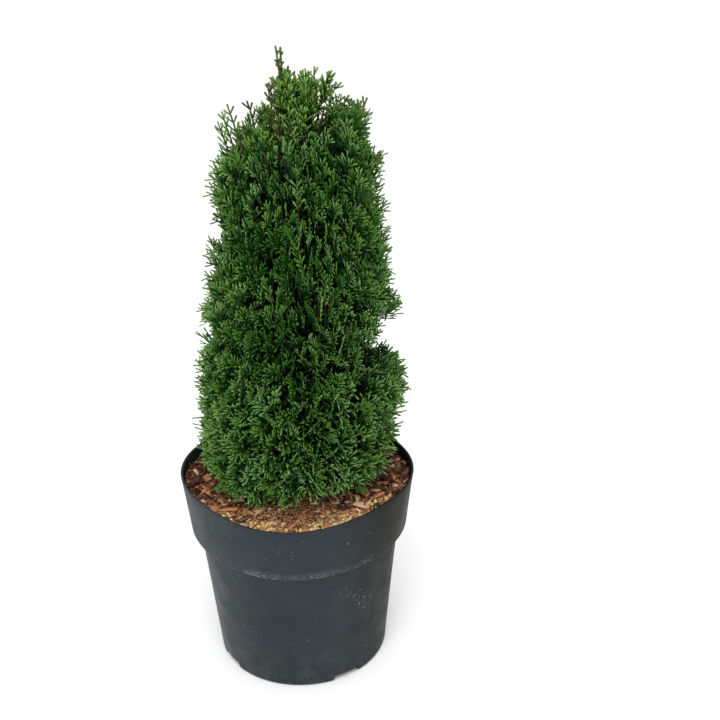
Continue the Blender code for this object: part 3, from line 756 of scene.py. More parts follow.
def out_of_round(radius, height, azimuth):
    """The soft wall's radius, which bulges on four sides towards the rim."""
    swell = LOBE_REACH * (height / POT_HEIGHT) ** 3 * radius / RIM_RADIUS
    return radius + swell * math.cos(LOBES * (azimuth - LOBE_AZIMUTH))


def ring_point(radius, height, azimuth):
    return Vector((radius * math.cos(azimuth), radius * math.sin(azimuth), height))


def lathe(profile, sides):
    """Rings for a profile of (radius, height) that starts and ends on the axis."""
    rings = []
    for radius, height in profile:
        if radius == 0:
            rings.append([Vector((0, 0, height))])
            continue
        ring = []
        for i in range(sides):
            azimuth = math.tau * i / sides
            ring.append(ring_point(out_of_round(radius, height, azimuth), height, azimuth))
        rings.append(ring)
    return rings


def arc(centre, radius, start, end):
    """A quarter or so of a circle in the profile, from one angle to another in degrees."""
    points = []
    for i in range(ARC_STEPS + 1):
        angle = math.radians(start + (end - start) * i / ARC_STEPS)
        points.append((centre[0] + radius * math.cos(angle), centre[1] + radius * math.sin(angle)))
    return points


def wall_between(low, high, steps):
    """Rings along a straight wall, so that its out of round grows smoothly."""
    points = []
    for i in range(1, steps):
        share = i / steps
        points.append((low[0] + (high[0] - low[0]) * share, low[1] + (high[1] - low[1]) * share))
    return points


def pot_outside():
    foot = arc((FOOT_RADIUS - FOOT_ROUND, FOOT_ROUND), FOOT_ROUND, -90, 0)
    body_top = (BODY_TOP_RADIUS, COLLAR_FOOT - EDGE_ROUND)
    fillet = arc((BODY_TOP_RADIUS + EDGE_ROUND, COLLAR_FOOT - EDGE_ROUND), EDGE_ROUND, 180, 90)
    edge = arc((COLLAR_FOOT_RADIUS - EDGE_ROUND, COLLAR_FOOT + EDGE_ROUND), EDGE_ROUND, -90, 0)
    rim = arc((RIM_RADIUS - LIP_ROUND, POT_HEIGHT - LIP_ROUND), LIP_ROUND, 0, 90)
    bottom = [(0, FLOOR_HEIGHT), (FOOT_RING_INNER, FLOOR_HEIGHT), (FOOT_RING_INNER + LIP_ROUND, 0)]
    body = wall_between(foot[-1], body_top, BODY_RINGS)
    collar = wall_between(edge[-1], rim[0], COLLAR_RINGS)
    return bottom + foot + body + fillet + edge + collar + rim


def pot_inside():
    floor = FLOOR_HEIGHT + WALL
    step = COLLAR_FOOT + WALL
    foot = FOOT_RADIUS - WALL
    top = (RIM_RADIUS - WALL, POT_HEIGHT)
    low = (COLLAR_FOOT_RADIUS - WALL, step + EDGE_ROUND)
    return [
        (RIM_RADIUS - WALL + LIP_ROUND, POT_HEIGHT),
        (top[0], POT_HEIGHT - LIP_ROUND),
        *wall_between(top, low, COLLAR_RINGS),
        low,
        (COLLAR_FOOT_RADIUS - WALL - EDGE_ROUND, step),
        (BODY_TOP_RADIUS - WALL, step - EDGE_ROUND / 2),
        (foot, floor + EDGE_ROUND),
        (foot - EDGE_ROUND, floor),
        (0, floor),
    ]


def notch_rings(azimuth):
    """A wedge that opens the foot ring: wide at the ground, narrower at the top."""
    outward = Vector((math.cos(azimuth), math.sin(azimuth), 0))
    side = UP.cross(outward)
    low = NOTCH_WIDTH / 2
    high = low - NOTCH_TAPER
    outline = ((-low, -CUTTER_MARGIN), (low, -CUTTER_MARGIN), (high, FLOOR_HEIGHT), (-high, FLOOR_HEIGHT))
    rings = []
    for radius in (FOOT_RING_INNER - CUTTER_MARGIN, FOOT_RADIUS + CUTTER_MARGIN):
        rings.append([outward * radius + side * across + UP * height for across, height in outline])
    return rings


def drain_rings(azimuth, circle):
    rings = []
    centre = ring_point(circle, 0, azimuth)
    for height in (0, FLOOR_HEIGHT + 2 * WALL):
        turns = [math.tau * i / DRAIN_SIDES for i in range(DRAIN_SIDES)]
        rings.append([centre + ring_point(DRAIN_RADIUS, height, turn) for turn in turns])
    return rings


def build_pot():
    made = pot_finish()
    pot = mesh_from_rings("pot_shell", [lathe(pot_outside() + pot_inside(), POT_SIDES)], made)
    groups = [notch_rings(NOTCH_AZIMUTH + n * math.tau / LOBES) for n in range(LOBES)]
    groups += [drain_rings(math.tau * n / DRAIN_HOLES, DRAIN_CIRCLE) for n in range(DRAIN_HOLES)]
    groups.append(drain_rings(0, 0))
    cutter = bpy.data.objects.new("pot_cutter", mesh_from_rings("pot_cutter", groups, made))
    bpy.context.scene.collection.objects.link(cutter)
    shell = bpy.data.objects.new("uncut_pot", pot)
    bpy.context.scene.collection.objects.link(shell)
    cut = shell.modifiers.new("openings", "BOOLEAN")
    cut.operation = "DIFFERENCE"
    cut.object = cutter
    graph = bpy.context.evaluated_depsgraph_get()
    mesh = bpy.data.meshes.new_from_object(shell.evaluated_get(graph))
    bpy.data.objects.remove(shell)
    bpy.data.objects.remove(cutter)
    mesh.name = "nursery_pot"
    mesh.shade_smooth()
    mesh.set_sharp_from_angle(angle=math.radians(POT_CREASE))
    add_piece(mesh, ["pot"])


def soil_height(radius, azimuth):
    """The uneven top of the soil, level round the trunk's foot."""
    away = max(0.0, radius - SOIL_FLAT) / RIM_RADIUS
    waves = sum(high * math.sin(count * azimuth + slant * radius) for count, slant, high in SOIL_WAVES)
    return SOIL_TOP + MULCH_DEPTH - SOIL_UNEVEN * away + SOIL_UNEVEN * away * waves


def to_wall(azimuth):
    """The soil's edge against the pot's wall, which isn't quite round."""
    return out_of_round(SOIL_EDGE, SOIL_TOP, azimuth)


def kept_inside(points):
    """Points of the mulch, pushed back from the pot's wall where they would reach into it."""
    out = np.hypot(points[:, 0], points[:, 1])
    swell = to_wall(LOBE_AZIMUTH) - SOIL_EDGE
    turn = np.arctan2(points[:, 1], points[:, 0]) - LOBE_AZIMUTH
    edge = SOIL_EDGE + swell * np.cos(LOBES * turn) - SOIL_WALL_GAP
    points[:, :2] *= np.minimum(1, edge / np.maximum(out, 1e-9))[:, None]
    return points


def build_soil():
    """A crumbly bed with a short skirt down the pot's wall."""
    rings = []
    for ring in range(SOIL_RINGS + 1):
        share = (SOIL_RINGS - ring) / SOIL_RINGS
        made = []
        for i in range(SOIL_SIDES):
            azimuth = math.tau * i / SOIL_SIDES
            radius = to_wall(azimuth) * share
            place = ring_point(radius, 0, azimuth)
            crumb = noise.fractal(place * CRUMB_SCALE, *CRUMB_FRACTAL)
            made.append(place + UP * (soil_height(radius, azimuth) + CRUMB_HEIGHT * crumb - SOIL_SINK))
        rings.append(made)
    foot = []
    for i in range(SOIL_SIDES):
        azimuth = math.tau * i / SOIL_SIDES
        foot.append(ring_point(to_wall(azimuth) - WALL, SOIL_TOP - SOIL_DEPTH, azimuth))
    rings = [foot] + rings[:-1] + [[Vector((0, 0, SOIL_TOP))]]
    finish = earth_finish("soil_bed", *BED_COLOURS, BED_GRAIN)
    add_piece(mesh_from_rings("soil_bed", [rings], finish, SOIL_CREASE), ["soil"])


def box_triangles():
    """The twelve triangles of a box whose corner 4x + 2y + z lies at sides x, y and z."""
    quads = ((0, 1, 3, 2), (4, 6, 7, 5), (0, 4, 5, 1), (2, 3, 7, 6), (0, 2, 6, 4), (1, 5, 7, 3))
    triangles = []
    for a, b, c, d in quads:
        triangles += [(a, b, c), (a, c, d)]
    return np.array(triangles)


def turned_frames(rng, count, flatness):
    """Random right-handed frames whose third axis stays near upright by flatness."""
    over = rng.normal(0, 1 - flatness, (count, 3)) + np.array([0, 0, flatness])
    over /= np.linalg.norm(over, axis=1, keepdims=True)
    turn = rng.uniform(0, math.tau, count)
    ahead = np.stack([np.cos(turn), np.sin(turn), np.zeros(count)], axis=1)
    aside = np.cross(over, ahead)
    aside /= np.linalg.norm(aside, axis=1, keepdims=True)
    return np.cross(aside, over), aside, over


def scatter_blocks(rng, centres, sizes, flatness):
    """Broken blocks: boxes with every corner knocked out of place."""
    count = len(centres)
    corners = np.array([(x, y, z) for x in (-0.5, 0.5) for y in (-0.5, 0.5) for z in (-0.5, 0.5)])
    knocked = corners[None] * rng.uniform(*CORNER_KNOCK, (count, *corners.shape)) * sizes[:, None, :]
    ahead, aside, over = turned_frames(rng, count, flatness)
    points = knocked[..., 0:1] * ahead[:, None] + knocked[..., 1:2] * aside[:, None]
    points += knocked[..., 2:3] * over[:, None] + centres[:, None]
    triangles = box_triangles()[None] + len(corners) * np.arange(count)[:, None, None]
    return points.reshape(-1, 3), triangles.reshape(-1, 3)


def soil_places(rng, count, favour, lift):
    """Places on the soil, thinned out by favour, a share between 0 and 1 for a radius and an azimuth."""
    places = []
    while len(places) < count:
        azimuth = rng.uniform(-math.pi, math.pi)
        radius = to_wall(azimuth) * math.sqrt(rng.uniform(BARE_MIDDLE, 1))
        if rng.uniform() < favour(radius / SOIL_EDGE, azimuth):
            places.append(ring_point(radius, soil_height(radius, azimuth) + lift, azimuth))
    return np.array(places)


def drift(middle, least, thinning):
    """The favour for places near a middle azimuth."""

    def favour(out, azimuth):
        return least + (1 - least) * (0.5 + 0.5 * math.cos(azimuth - middle)) ** thinning

    return favour


def bead_favour(out, azimuth):
    """Beads of feed lie near the front rim, most of them right of the middle."""
    near = max(0.0, out - BEAD_BAND) / (1 - BEAD_BAND)
    share = STRAY_BEADS
    for middle, spread, weight in BEAD_DRIFTS:
        turn = (azimuth - math.radians(middle) + math.pi) % math.tau - math.pi
        share += weight * math.exp(-((math.degrees(turn) / spread) ** 2)) * near**BEAD_CROWDING
    return share


def browns_by_place(rng, places):
    """One of the four browns for each place, lighter and more orange towards the front."""
    made = []
    for x, y, _ in places:
        front = max(0.0, -y / math.hypot(x, y)) ** FRONT_NARROWING
        odds = [high * front + low * (1 - front) for high, low in zip(FRONT_BROWNS, BACK_BROWNS)]
        made.append(int(rng.choice(len(BROWNS), p=odds)))
    return np.array(made)


def add_blocks(name, rng, browns, centres, sizes, flatness):
    """A piece of broken blocks, each of a brown that goes with its place."""
    points, triangles = scatter_blocks(rng, centres, sizes, flatness)
    kinds = browns_by_place(rng, centres).repeat(len(box_triangles()))
    add_piece(mesh_from_arrays(name, kept_inside(points), triangles, kinds, browns))


def build_mulch():
    """Bark chips, crumbs, fibres and beads of feed on the soil."""
    rng = np.random.default_rng(SEED)
    browns = [earth_finish(*brown) for brown in BROWNS]
    centres = soil_places(rng, CHIPS, drift(*CHIP_DRIFT), CHIP_LIFT)
    long = rng.uniform(*CHIP_LENGTH, CHIPS) * rng.uniform(0.5, 1, CHIPS)
    wide = long * rng.uniform(*CHIP_WIDTH, CHIPS)
    sizes = np.stack([long, wide, rng.uniform(*CHIP_THICKNESS, CHIPS)], axis=1)
    centres[:, 2] += rng.uniform(0, CHIP_PILE, CHIPS)
    add_blocks("bark_chips", rng, browns, centres, sizes, CHIP_FLATNESS)

    centres = soil_places(rng, CRUMBS, drift(*CRUMB_DRIFT), CRUMB_LIFT)
    sizes = rng.uniform(*CRUMB_SIZE, (CRUMBS, 3))
    add_blocks("soil_crumbs", rng, browns, centres, sizes, CRUMB_FLATNESS)

    build_fibres(rng, browns)
    build_beads(rng)


def build_fibres(rng, browns):
    """Short bent strings of coir and bark."""
    tubes = Tubes()
    places = soil_places(rng, FIBRES, drift(*FIBRE_DRIFT), FIBRE_LIFT)
    for place, kind in zip(places, browns_by_place(rng, places)):
        start = Vector(place)
        turn = rng.uniform(0, math.tau)
        rise = rng.uniform(*FIBRE_RISE)
        ahead = Vector((math.cos(turn), math.sin(turn), rise)) * rng.uniform(*FIBRE_LENGTH) / FIBRE_BENDS
        radius = rng.uniform(*FIBRE_RADIUS)
        path = [start]
        for _ in range(FIBRE_BENDS):
            ahead = Matrix.Rotation(rng.uniform(-FIBRE_BEND, FIBRE_BEND), 3, "Z") @ ahead
            ahead.z -= FIBRE_SAG
            path.append(path[-1] + ahead)
        tubes.add(path, [radius * share for share in FIBRE_TAPER], int(kind))
    tubes.points = kept_inside(np.array([tuple(point) for point in tubes.points]))
    add_piece(tubes.mesh("coir_fibres", browns))


def build_beads(rng):
    """Round beads of feed, a little squashed."""
    finishes = []
    for name, low, high in BEAD_COLOURS:
        finish = Finish(name, high, *BEAD_SURFACE)
        finish.colour(finish.mottled(finish.noise(700, 2), low, high))
        finishes.append(finish.made)
    bm = bmesh.new()
    for place in soil_places(rng, BEADS, bead_favour, BEAD_LIFT):
        radius = rng.uniform(*BEAD_RADIUS)
        squash = Matrix.Diagonal((1, rng.uniform(BEAD_SQUASH, 1), rng.uniform(BEAD_SQUASH, 1), 1))
        kind = int(rng.choice(len(finishes)))
        made = bmesh.ops.create_icosphere(
            bm, subdivisions=BEAD_ROUNDS, radius=radius, matrix=Matrix.Translation(Vector(place)) @ squash
        )
        for face in {face for vert in made["verts"] for face in vert.link_faces}:
            face.material_index = kind
            face.smooth = True
    mesh = bpy.data.meshes.new("feed_beads")
    bm.to_mesh(mesh)
    bm.free()
    for made in finishes:
        mesh.materials.append(made)
    add_piece(mesh)


# Trunk


def trunk_share(height):
    """A height as a share of the trunk's own, from its foot to its tip."""
    return min(max((height - TRUNK_FOOT) / (TRUNK_TIP - TRUNK_FOOT), 0.0), 1.0)


def trunk_centre(height):
    """The trunk's own line: a slight bow to the right, and a tip that comes back to the left."""
    share = trunk_share(height)
    x = TRUNK_SWAY * math.sin(math.pi * share) + TIP_SHIFT * share
    y = -TRUNK_SWAY_BACK * math.sin(math.tau * share)
    return Vector((x, y, height))


def trunk_radius(height):
    taper = (1 - trunk_share(height)) ** TRUNK_TAPER_POWER
    return TRUNK_TIP_RADIUS + (TRUNK_FOOT_RADIUS - TRUNK_TIP_RADIUS) * taper


def bark_relief(place):
    """How far the bark stands out at a place, in shares of the limb's radius."""
    stretched = Vector((place.x * BARK_ACROSS, place.y * BARK_ACROSS, place.z * BARK_ALONG))
    return BARK_RIDGE * noise.fractal(stretched, *BARK_FRACTAL)


def build_trunk():
    rings = []
    for n in range(TRUNK_RINGS + 1):
        height = TRUNK_FOOT + (TRUNK_TIP - TRUNK_FOOT) * n / TRUNK_RINGS
        centre = trunk_centre(height)
        flare = FLARE * math.exp(-(height - TRUNK_FOOT) / FLARE_HEIGHT)
        ring = []
        for corner in range(TRUNK_SIDES):
            azimuth = math.tau * corner / TRUNK_SIDES
            radius = trunk_radius(height)
            radius += flare * (FLARE_SHARE + (1 - FLARE_SHARE) * math.cos(FLARE_LOBES * azimuth))
            place = centre + ring_point(radius, 0, azimuth)
            ring.append(centre + ring_point(radius * (1 + bark_relief(place)), 0, azimuth))
        rings.append(ring)
    made = bark_finish("trunk_bark", *TRUNK_BARK)
    add_piece(mesh_from_rings("trunk_bark", [rings], made, BARK_CREASE), ["trunk"])


# Crown spaces


def crown_radius(height):
    """The crown's envelope: a tapering column, tucked in over the soil and rounded at its shoulder."""
    radius = CROWN_RADIUS - CROWN_TAPER * (height - CROWN_FOOT)
    share = (height - SOIL_TOP) / SKIRT_TUCK_HEIGHT
    tuck = min(1.0, max(SKIRT_TUCK_LEAST, share)) ** SKIRT_TUCK_POWER
    if height > CROWN_SHOULDER:
        share = min(1.0, (height - CROWN_SHOULDER) / (CROWN_TOP - CROWN_SHOULDER))
        radius *= math.sqrt(1 - share**2)
    return radius * tuck


def tier_edge(number, out, azimuth):
    """Height of a tier's lower edge at a distance out from the trunk's line."""
    edge, rise, tilt = TIERS[number][3:]
    return edge + tilt * math.cos(azimuth) + rise * (out - crown_radius(edge))


class Space:
    """The room that one mass of foliage keeps to: a slice of its tier between two neighbours."""

    def __init__(self, tier, number):
        name, count, first = TIERS[tier][:3]
        self.tier = tier
        self.number = number
        self.row = name
        self.name = f"{name}_{number + 1}"
        self.half = math.pi / count
        self.azimuth = math.radians(first) + math.tau * number / count
        self.reach = REACH.get(self.name, 1.0)
        self.plume = tier == len(TIERS) - 1
        middle = (self.edge(CROWN_RADIUS, 0, self.azimuth) + self.edge(CROWN_RADIUS, 1, self.azimuth)) / 2
        self.outer = crown_radius(middle) * self.reach
        self.inner = LEADER_RADIUS + SPACE_GAP if self.plume else self.outer * INNER_SHARE

    def edge(self, out, level, azimuth):
        """The lower edge at level 0 and the upper one at level 1."""
        low = tier_edge(self.tier, out, azimuth) + SPACE_GAP
        high = PLUME_TOPS[self.number] if self.plume else tier_edge(self.tier + 1, out, azimuth) - SPACE_GAP
        return low * (1 - level) + high * level

    def point(self, across, level, out):
        """A point by its shares of the space: across from -1 to 1, level and out from 0 to 1."""
        radius = self.inner + (self.outer - self.inner) * out
        azimuth = self.azimuth + across * (self.half - SPACE_GAP / radius)
        height = self.edge(radius, level, azimuth)
        lean = crown_radius(height) * self.reach / self.outer
        radius *= 1 + (lean - 1) * out
        centre = trunk_centre(height)
        x = centre.x + radius * math.cos(azimuth)
        y = centre.y + radius * math.sin(azimuth)
        return Vector((x, y, height))

    def stem(self):
        """Where the mass's stem starts and the way it grows."""
        start = self.point(*STEM_START)
        ahead = self.point(*STEM_AIM)
        return start, (ahead - start).normalized()

    def width(self):
        return 2 * self.half * self.outer


# Limbs and twigs


def across_pair(direction):
    """Two unit vectors square to a direction."""
    aside = direction.orthogonal().normalized()
    if abs(direction.dot(UP)) < NEARLY_UPRIGHT:
        aside = direction.cross(UP).normalized()
    return aside, aside.cross(direction).normalized()


def limb_rings(path, radii, sides):
    """Rings of a tapering limb square to its path."""
    rings = []
    for i, (centre, radius) in enumerate(zip(path, radii)):
        ahead = path[min(i + 1, len(path) - 1)] - path[max(i - 1, 0)]
        aside, over = across_pair(ahead.normalized())
        ring = []
        for n in range(sides):
            turn = math.tau * n / sides
            ring.append(centre + (aside * math.cos(turn) + over * math.sin(turn)) * radius)
        rings.append(ring)
    return rings


def bent_path(root, lift, end, steps):
    """A smooth bend from root to end that is drawn towards lift."""
    path = []
    for i in range(steps + 1):
        t = i / steps
        path.append(root * (1 - t) ** 2 + lift * 2 * t * (1 - t) + end * t**2)
    return path


def bough_path(space):
    """From inside the trunk out and then up to the foot of the mass's stem."""
    start, growth = space.stem()
    end = start - growth * STEM_LENGTH
    level = end.z - math.hypot(end.x, end.y) * (BOUGH_RISE + BOUGH_RISE_PER_TIER * space.tier)
    level = max(level, TRUNK_FOOT + LOWEST_BOUGH + BOUGH_STAGGER * (space.number % 3))
    outward = Vector((math.cos(space.azimuth), math.sin(space.azimuth), 0))
    root = trunk_centre(level) + outward * trunk_radius(level) * BOUGH_SINK
    lift = root + (outward + UP * BOUGH_LIFT).normalized() * (end - root).length * BOUGH_SPREAD
    return bent_path(root, lift, end, BOUGH_RINGS)


def build_boughs(spaces):
    groups = []
    for space in spaces:
        path = bough_path(space)
        radii = []
        for i in range(len(path)):
            share = i / (len(path) - 1)
            collar = 1 + (BOUGH_COLLAR - 1) * math.exp(-share / BOUGH_COLLAR_LENGTH)
            radii.append((BOUGH_RADIUS + (BOUGH_TIP_RADIUS - BOUGH_RADIUS) * share) * collar)
        rings = limb_rings(path, radii, BOUGH_SIDES)
        for centre, ring in zip(path, rings):
            for i, point in enumerate(ring):
                ring[i] = centre + (point - centre) * (1 + bark_relief(point))
        groups.append(rings)
    made = bark_finish("bough_bark", *BOUGH_BARK, along=BARK_ACROSS / 2)
    nodes = [f"bough_{space.name}" for space in spaces]
    add_piece(mesh_from_rings("bough_bark", groups, made, BARK_CREASE), nodes)


class Tubes:
    """Three-sided twigs and fibres, joined into one mesh."""

    def __init__(self):
        self.points = []
        self.triangles = []
        self.kinds = []

    def add(self, path, radii, kind=0):
        first = len(self.points)
        for ring in limb_rings(path, radii, 3):
            self.points += ring
        faces = []
        for i in range(len(path) - 1):
            low = first + 3 * i
            for n in range(3):
                a, b = low + n, low + (n + 1) % 3
                faces += [(a, b, b + 3), (a, b + 3, a + 3)]
        last = len(self.points) - 3
        faces += [(first, first + 2, first + 1), (last, last + 1, last + 2)]
        self.triangles += faces
        self.kinds += [kind] * len(faces)

    def mesh(self, name, materials):
        points = np.array([tuple(point) for point in self.points])
        return mesh_from_arrays(name, points, np.array(self.triangles), self.kinds, materials)


# Sprays


class Leaves:
    """Joints of scale leaves, gathered one by one and made into meshes together."""

    def __init__(self):
        self.starts = []
        self.ends = []
        self.overs = []
        self.widths = []
        self.inners = []
        self.outers = []

    def add(self, start, end, over, width, inner, outer):
        """One joint, with the leaf colours of its inner and its outer half."""
        self.starts.append(start[:])
        self.ends.append(end[:])
        self.overs.append(over[:])
        self.widths.append(width)
        self.inners.append(KINDS[inner])
        self.outers.append(KINDS[outer])

    def arrays(self, outline):
        """Closed blades: a ridge along the top, a flat back and the outline's two uneven edges."""
        start = np.array(self.starts)
        ahead = np.array(self.ends) - start
        way = ahead / np.linalg.norm(ahead, axis=1, keepdims=True)
        over = np.array(self.overs)
        over -= way * (over * way).sum(axis=1, keepdims=True)
        over /= np.linalg.norm(over, axis=1, keepdims=True)
        half = np.array(self.widths)[:, None] / 2
        aside = np.cross(way, over) * half
        rise = over * half * 2 * JOINT_THICKNESS
        rows = []
        for share, right, left in outline:
            centre = start + ahead * share
            rows += [centre + aside * right, centre + rise * (right + left) / 2, centre - aside * left]
        rows.append(start + ahead)
        points = np.stack(rows, axis=1)
        pattern = blade_triangles(len(outline))
        triangles = pattern[None] + points.shape[1] * np.arange(len(start))[:, None, None]
        kinds = np.repeat(np.array(self.inners)[:, None], len(pattern), axis=1)
        kinds[:, END_TRIANGLES] = np.array(self.outers)[:, None]
        return points.reshape(-1, 3), triangles.reshape(-1, 3), kinds.ravel()


def blade_triangles(stations):
    """Triangles of one blade of three points at each station and one at the tip."""
    triangles = [(0, 1, 2)]
    for station in range(stations - 1):
        low = 3 * station
        for n in range(3):
            a, b = low + n, low + (n + 1) % 3
            triangles += [(a, a + 3, b + 3), (a, b + 3, b)]
    low = 3 * (stations - 1)
    tip = low + 3
    for n in range(3):
        triangles.append((low + n, tip, low + (n + 1) % 3))
    return np.array(triangles)


def merged(first, second):
    """The points, triangles and kinds of two meshes as one."""
    triangles = np.concatenate([first[1], second[1] + len(first[0])])
    return np.concatenate([first[0], second[0]]), triangles, np.concatenate([first[2], second[2]])


def turned(vector, axis, angle):
    return Matrix.Rotation(angle, 3, axis) @ vector


def way_of(azimuth, rise):
    """The unit vector at an azimuth and a rise, both in radians."""
    return Vector((math.cos(azimuth) * math.cos(rise), math.sin(azimuth) * math.cos(rise), math.sin(rise)))


class Growth:
    """What grows in one tier: joints of leaves, and the twigs that carry them."""

    def __init__(self, rng, row):
        self.rng = rng
        self.row = ROWS[row]
        self.habit = self.row.habit
        self.tones = TOP_TONES if row == "leader" else TONES
        self.tips = Leaves()
        self.stalks = Leaves()
        self.twigs = Tubes()

    def spread(self, most):
        return self.rng.uniform(-most, most)

    def tone(self, place):
        """The leaf colours of a spray, darker in some clumps and lighter in others as painted shade and
        light.
        """
        roll = self.rng.random() * self.row.lit + clump_shade(place)
        for leaves, share in self.tones:
            roll -= share
            if roll < 0:
                break
        return leaves

    def plane(self, way, outward):
        """The flat side of a spray, which stands upright on the crown's face, give or take a turn."""
        over = way.cross(UP.cross(outward)).cross(way)
        return turned(over, way, self.spread(math.radians(self.row.turn)))

    def shoot(self, start, ahead, over, length, habit, tone, order=0):
        """A flat shoot of joints end to end, with side shoots left and right in its plane. Its foot, its
        stalk and the two halves of its last joint take the four leaf colours of its tone."""
        joints = max(1, round(length / habit.joint))
        step = length / joints
        hand = self.rng.choice((-1, 1))
        width = habit.width * (1 - ORDER_THINNING * order)
        for n in range(joints):
            last = n == joints - 1
            end = start + ahead * step
            end.z = max(end.z, SKIRT_FLOOR)
            part = 2 if last else int(order > 0 or n >= joints * FOOT_SHARE)
            leaves = self.tips if last else self.stalks
            leaves.add(start - ahead * JOINT_OVERLAP, end, over, width, tone[part], tone[part + last])
            if order < habit.orders and not last:
                rest = length - step * (n + 0.5)
                for side in (hand, -hand):
                    self.fork(start, end, over, side, rest, habit, tone, order)
            start = end
            ahead = (turned(ahead, over, self.spread(habit.bend)) + UP * habit.lift).normalized()
            over = turned(over, ahead, self.spread(CUPPING))

    def fork(self, start, end, over, side, rest, habit, tone, order):
        reach = (habit.least_fork + rest * habit.fork_reach) * self.rng.uniform(*FORK_REACHES)
        if reach < LEAST_SHOOT or self.rng.random() > habit.fork_share:
            return
        ahead = (end - start).normalized()
        way = turned(ahead, over, side * (FORK_ANGLE + self.spread(FORK_ANGLE_SPREAD)))
        tilted = turned(over, way, self.spread(CUPPING))
        foot = end.lerp(start, self.rng.uniform(*FORK_FOOT))
        self.shoot(foot, way, tilted, reach, habit, tone, order + 1)

    def tuft(self, foot, tip, sprays, habit, lean, outward):
        """A stalk with sprays set round it, which lean out less and less towards its tip. Few of them point
        back into the crown."""
        axis = tip - foot
        way = axis.normalized()
        aside, over = across_pair(way)
        self.twig(foot, foot + axis * TUFT_STALK, TWIG_TIP_RADIUS, TWIG_TIP_RADIUS)
        for n in range(sprays):
            share = (n + 0.5) / sprays
            turn = GOLDEN_ANGLE * n + self.spread(SPRAY_JITTER)
            out = aside * math.cos(turn) + over * math.sin(turn)
            if out.dot(outward) < INWARD and n % 2:
                continue
            angle = lean * (1 - share) ** LEAN_POWER
            ahead = way * math.cos(angle) + out * math.sin(angle)
            rest = axis.length * (1 - TUFT_STALK * share)
            length = min(max(rest, habit.length[0]), habit.length[1]) * self.rng.uniform(*SPRAY_LENGTHS)
            base = foot + axis * TUFT_STALK * share
            self.shoot(base, ahead, self.plane(ahead, outward), length, habit, self.tone(tip))

    def twig(self, start, end, thick, thin):
        """A thin twig that leaves flat and rises into what it carries."""
        lift = start.lerp(end, 0.5) - UP * (end - start).length * TWIG_SAG
        path = bent_path(start, lift, end, TWIG_STEPS)
        radii = [thick + (thin - thick) * i / TWIG_STEPS for i in range(TWIG_STEPS + 1)]
        self.twigs.add(path, radii)

    def tuft_at(self, space, across, level, anchors):
        """One branch end on the face of a mass, carried by the nearest of the mass's twigs."""
        tip, azimuth = shaped(space.point(across, level, self.rng.uniform(*self.row.depth)))
        drop = SKIRT_DROOP * max(0.0, 1 - level / DROOP_LEVEL) if space.row == "skirt" else 0
        rise = math.radians(self.row.rise - drop + self.spread(TUFT_RISE_SPREAD))
        swung = azimuth + math.radians(self.spread(TUFT_SWING))
        foot = tip - way_of(swung, rise) * TUFT_LENGTH
        habit = HANGING if drop else self.habit
        lean = math.radians(self.row.lean)
        self.tuft(foot, tip, TUFT_SPRAYS, habit, lean, ring_point(1, 0, azimuth))
        nearest = min(anchors, key=lambda anchor: (anchor - foot).length)
        self.twig(nearest, foot, TWIG_RADIUS, TWIG_TIP_RADIUS)

    def fill_mass(self, space):
        """Rows of branch ends over the face of a mass, and the twigs that fan out to them from its stem."""
        start, growth = space.stem()
        foot = start - growth * STEM_LENGTH
        anchors = [space.point(across, level, ANCHOR_DEPTH) for across, level in TWIG_ANCHORS]
        for anchor in anchors:
            self.twig(foot, anchor, BOUGH_TIP_RADIUS, TWIG_RADIUS)
        low = space.point(0, 0, 1).z
        full = space.point(0, 1, 1).z
        high = CROWN_TUFT_TOP + TOP_TILT * math.cos(space.azimuth) if space.plume else full
        top = (high - low) / (full - low)
        rows = max(1, round((high - low) / TUFT_UP))
        columns = max(1, round(space.width() / TUFT_ACROSS))
        for row in range(rows):
            stagger = TUFT_STAGGER if row % 2 else -TUFT_STAGGER
            for column in range(columns):
                place = column + 0.5 + stagger + self.spread(TUFT_JITTER)
                level = top * (row + 0.5 + self.spread(TUFT_JITTER)) / rows
                self.tuft_at(space, 2 * place / columns - 1, level, anchors)
        for layer in LAYERS:
            self.even_layer(space, top, layer)

    def even_layer(self, space, top, layer):
        """Sprays spread evenly under the tufts."""
        room, depths = LAYERS[layer]
        tones = LAYER_TONES[layer]
        tall = (space.point(0, 1, 1).z - space.point(0, 0, 1).z) * top
        for n in range(round(space.width() * tall / room)):
            across = 2 * ((n * SPREAD_ACROSS) % 1) - 1
            level = top * ((n * SPREAD_UP) % 1)
            tip, azimuth = shaped(space.point(across, level, self.rng.uniform(*depths)))
            turn = self.spread(LAYER_TURN)
            rise = math.radians(self.row.rise + self.spread(LAYER_RISE_SPREAD))
            way = way_of(azimuth + turn, rise)
            length = self.rng.uniform(*self.habit.length)
            roll = max(self.rng.random() + clump_shade(tip), 0.0)
            tone = tones[min(int(roll * len(tones)), len(tones) - 1)]
            over = self.plane(way, ring_point(1, 0, azimuth))
            self.shoot(tip - way * length, way, over, length, self.habit, tone)

    def plume(self, tip, foot, sprays, habit):
        """One of the open shoots at the top, or a slender tuft."""
        tip, foot = Vector(tip), Vector(foot)
        centre = trunk_centre(foot.z)
        root = trunk_centre(min(foot.z - PLUME_ROOT_DROP, TRUNK_TIP - PLUME_ROOT_TOP))
        self.twig(root, foot, TWIG_TIP_RADIUS, TWIG_TIP_RADIUS)
        if sprays:
            self.tuft(foot, tip, sprays, habit, PLUME_LEAN, (foot - centre).normalized())
            return
        way = (tip - foot).normalized()
        over = turned(-FRONT.cross(way).cross(way), way, math.radians(self.spread(PLUME_TURN)))
        tone = self.rng.choice(ANTLER_TONES) if habit is ANTLER else SPIKE_TONE
        self.shoot(foot, way, over, (tip - foot).length, habit, tone)

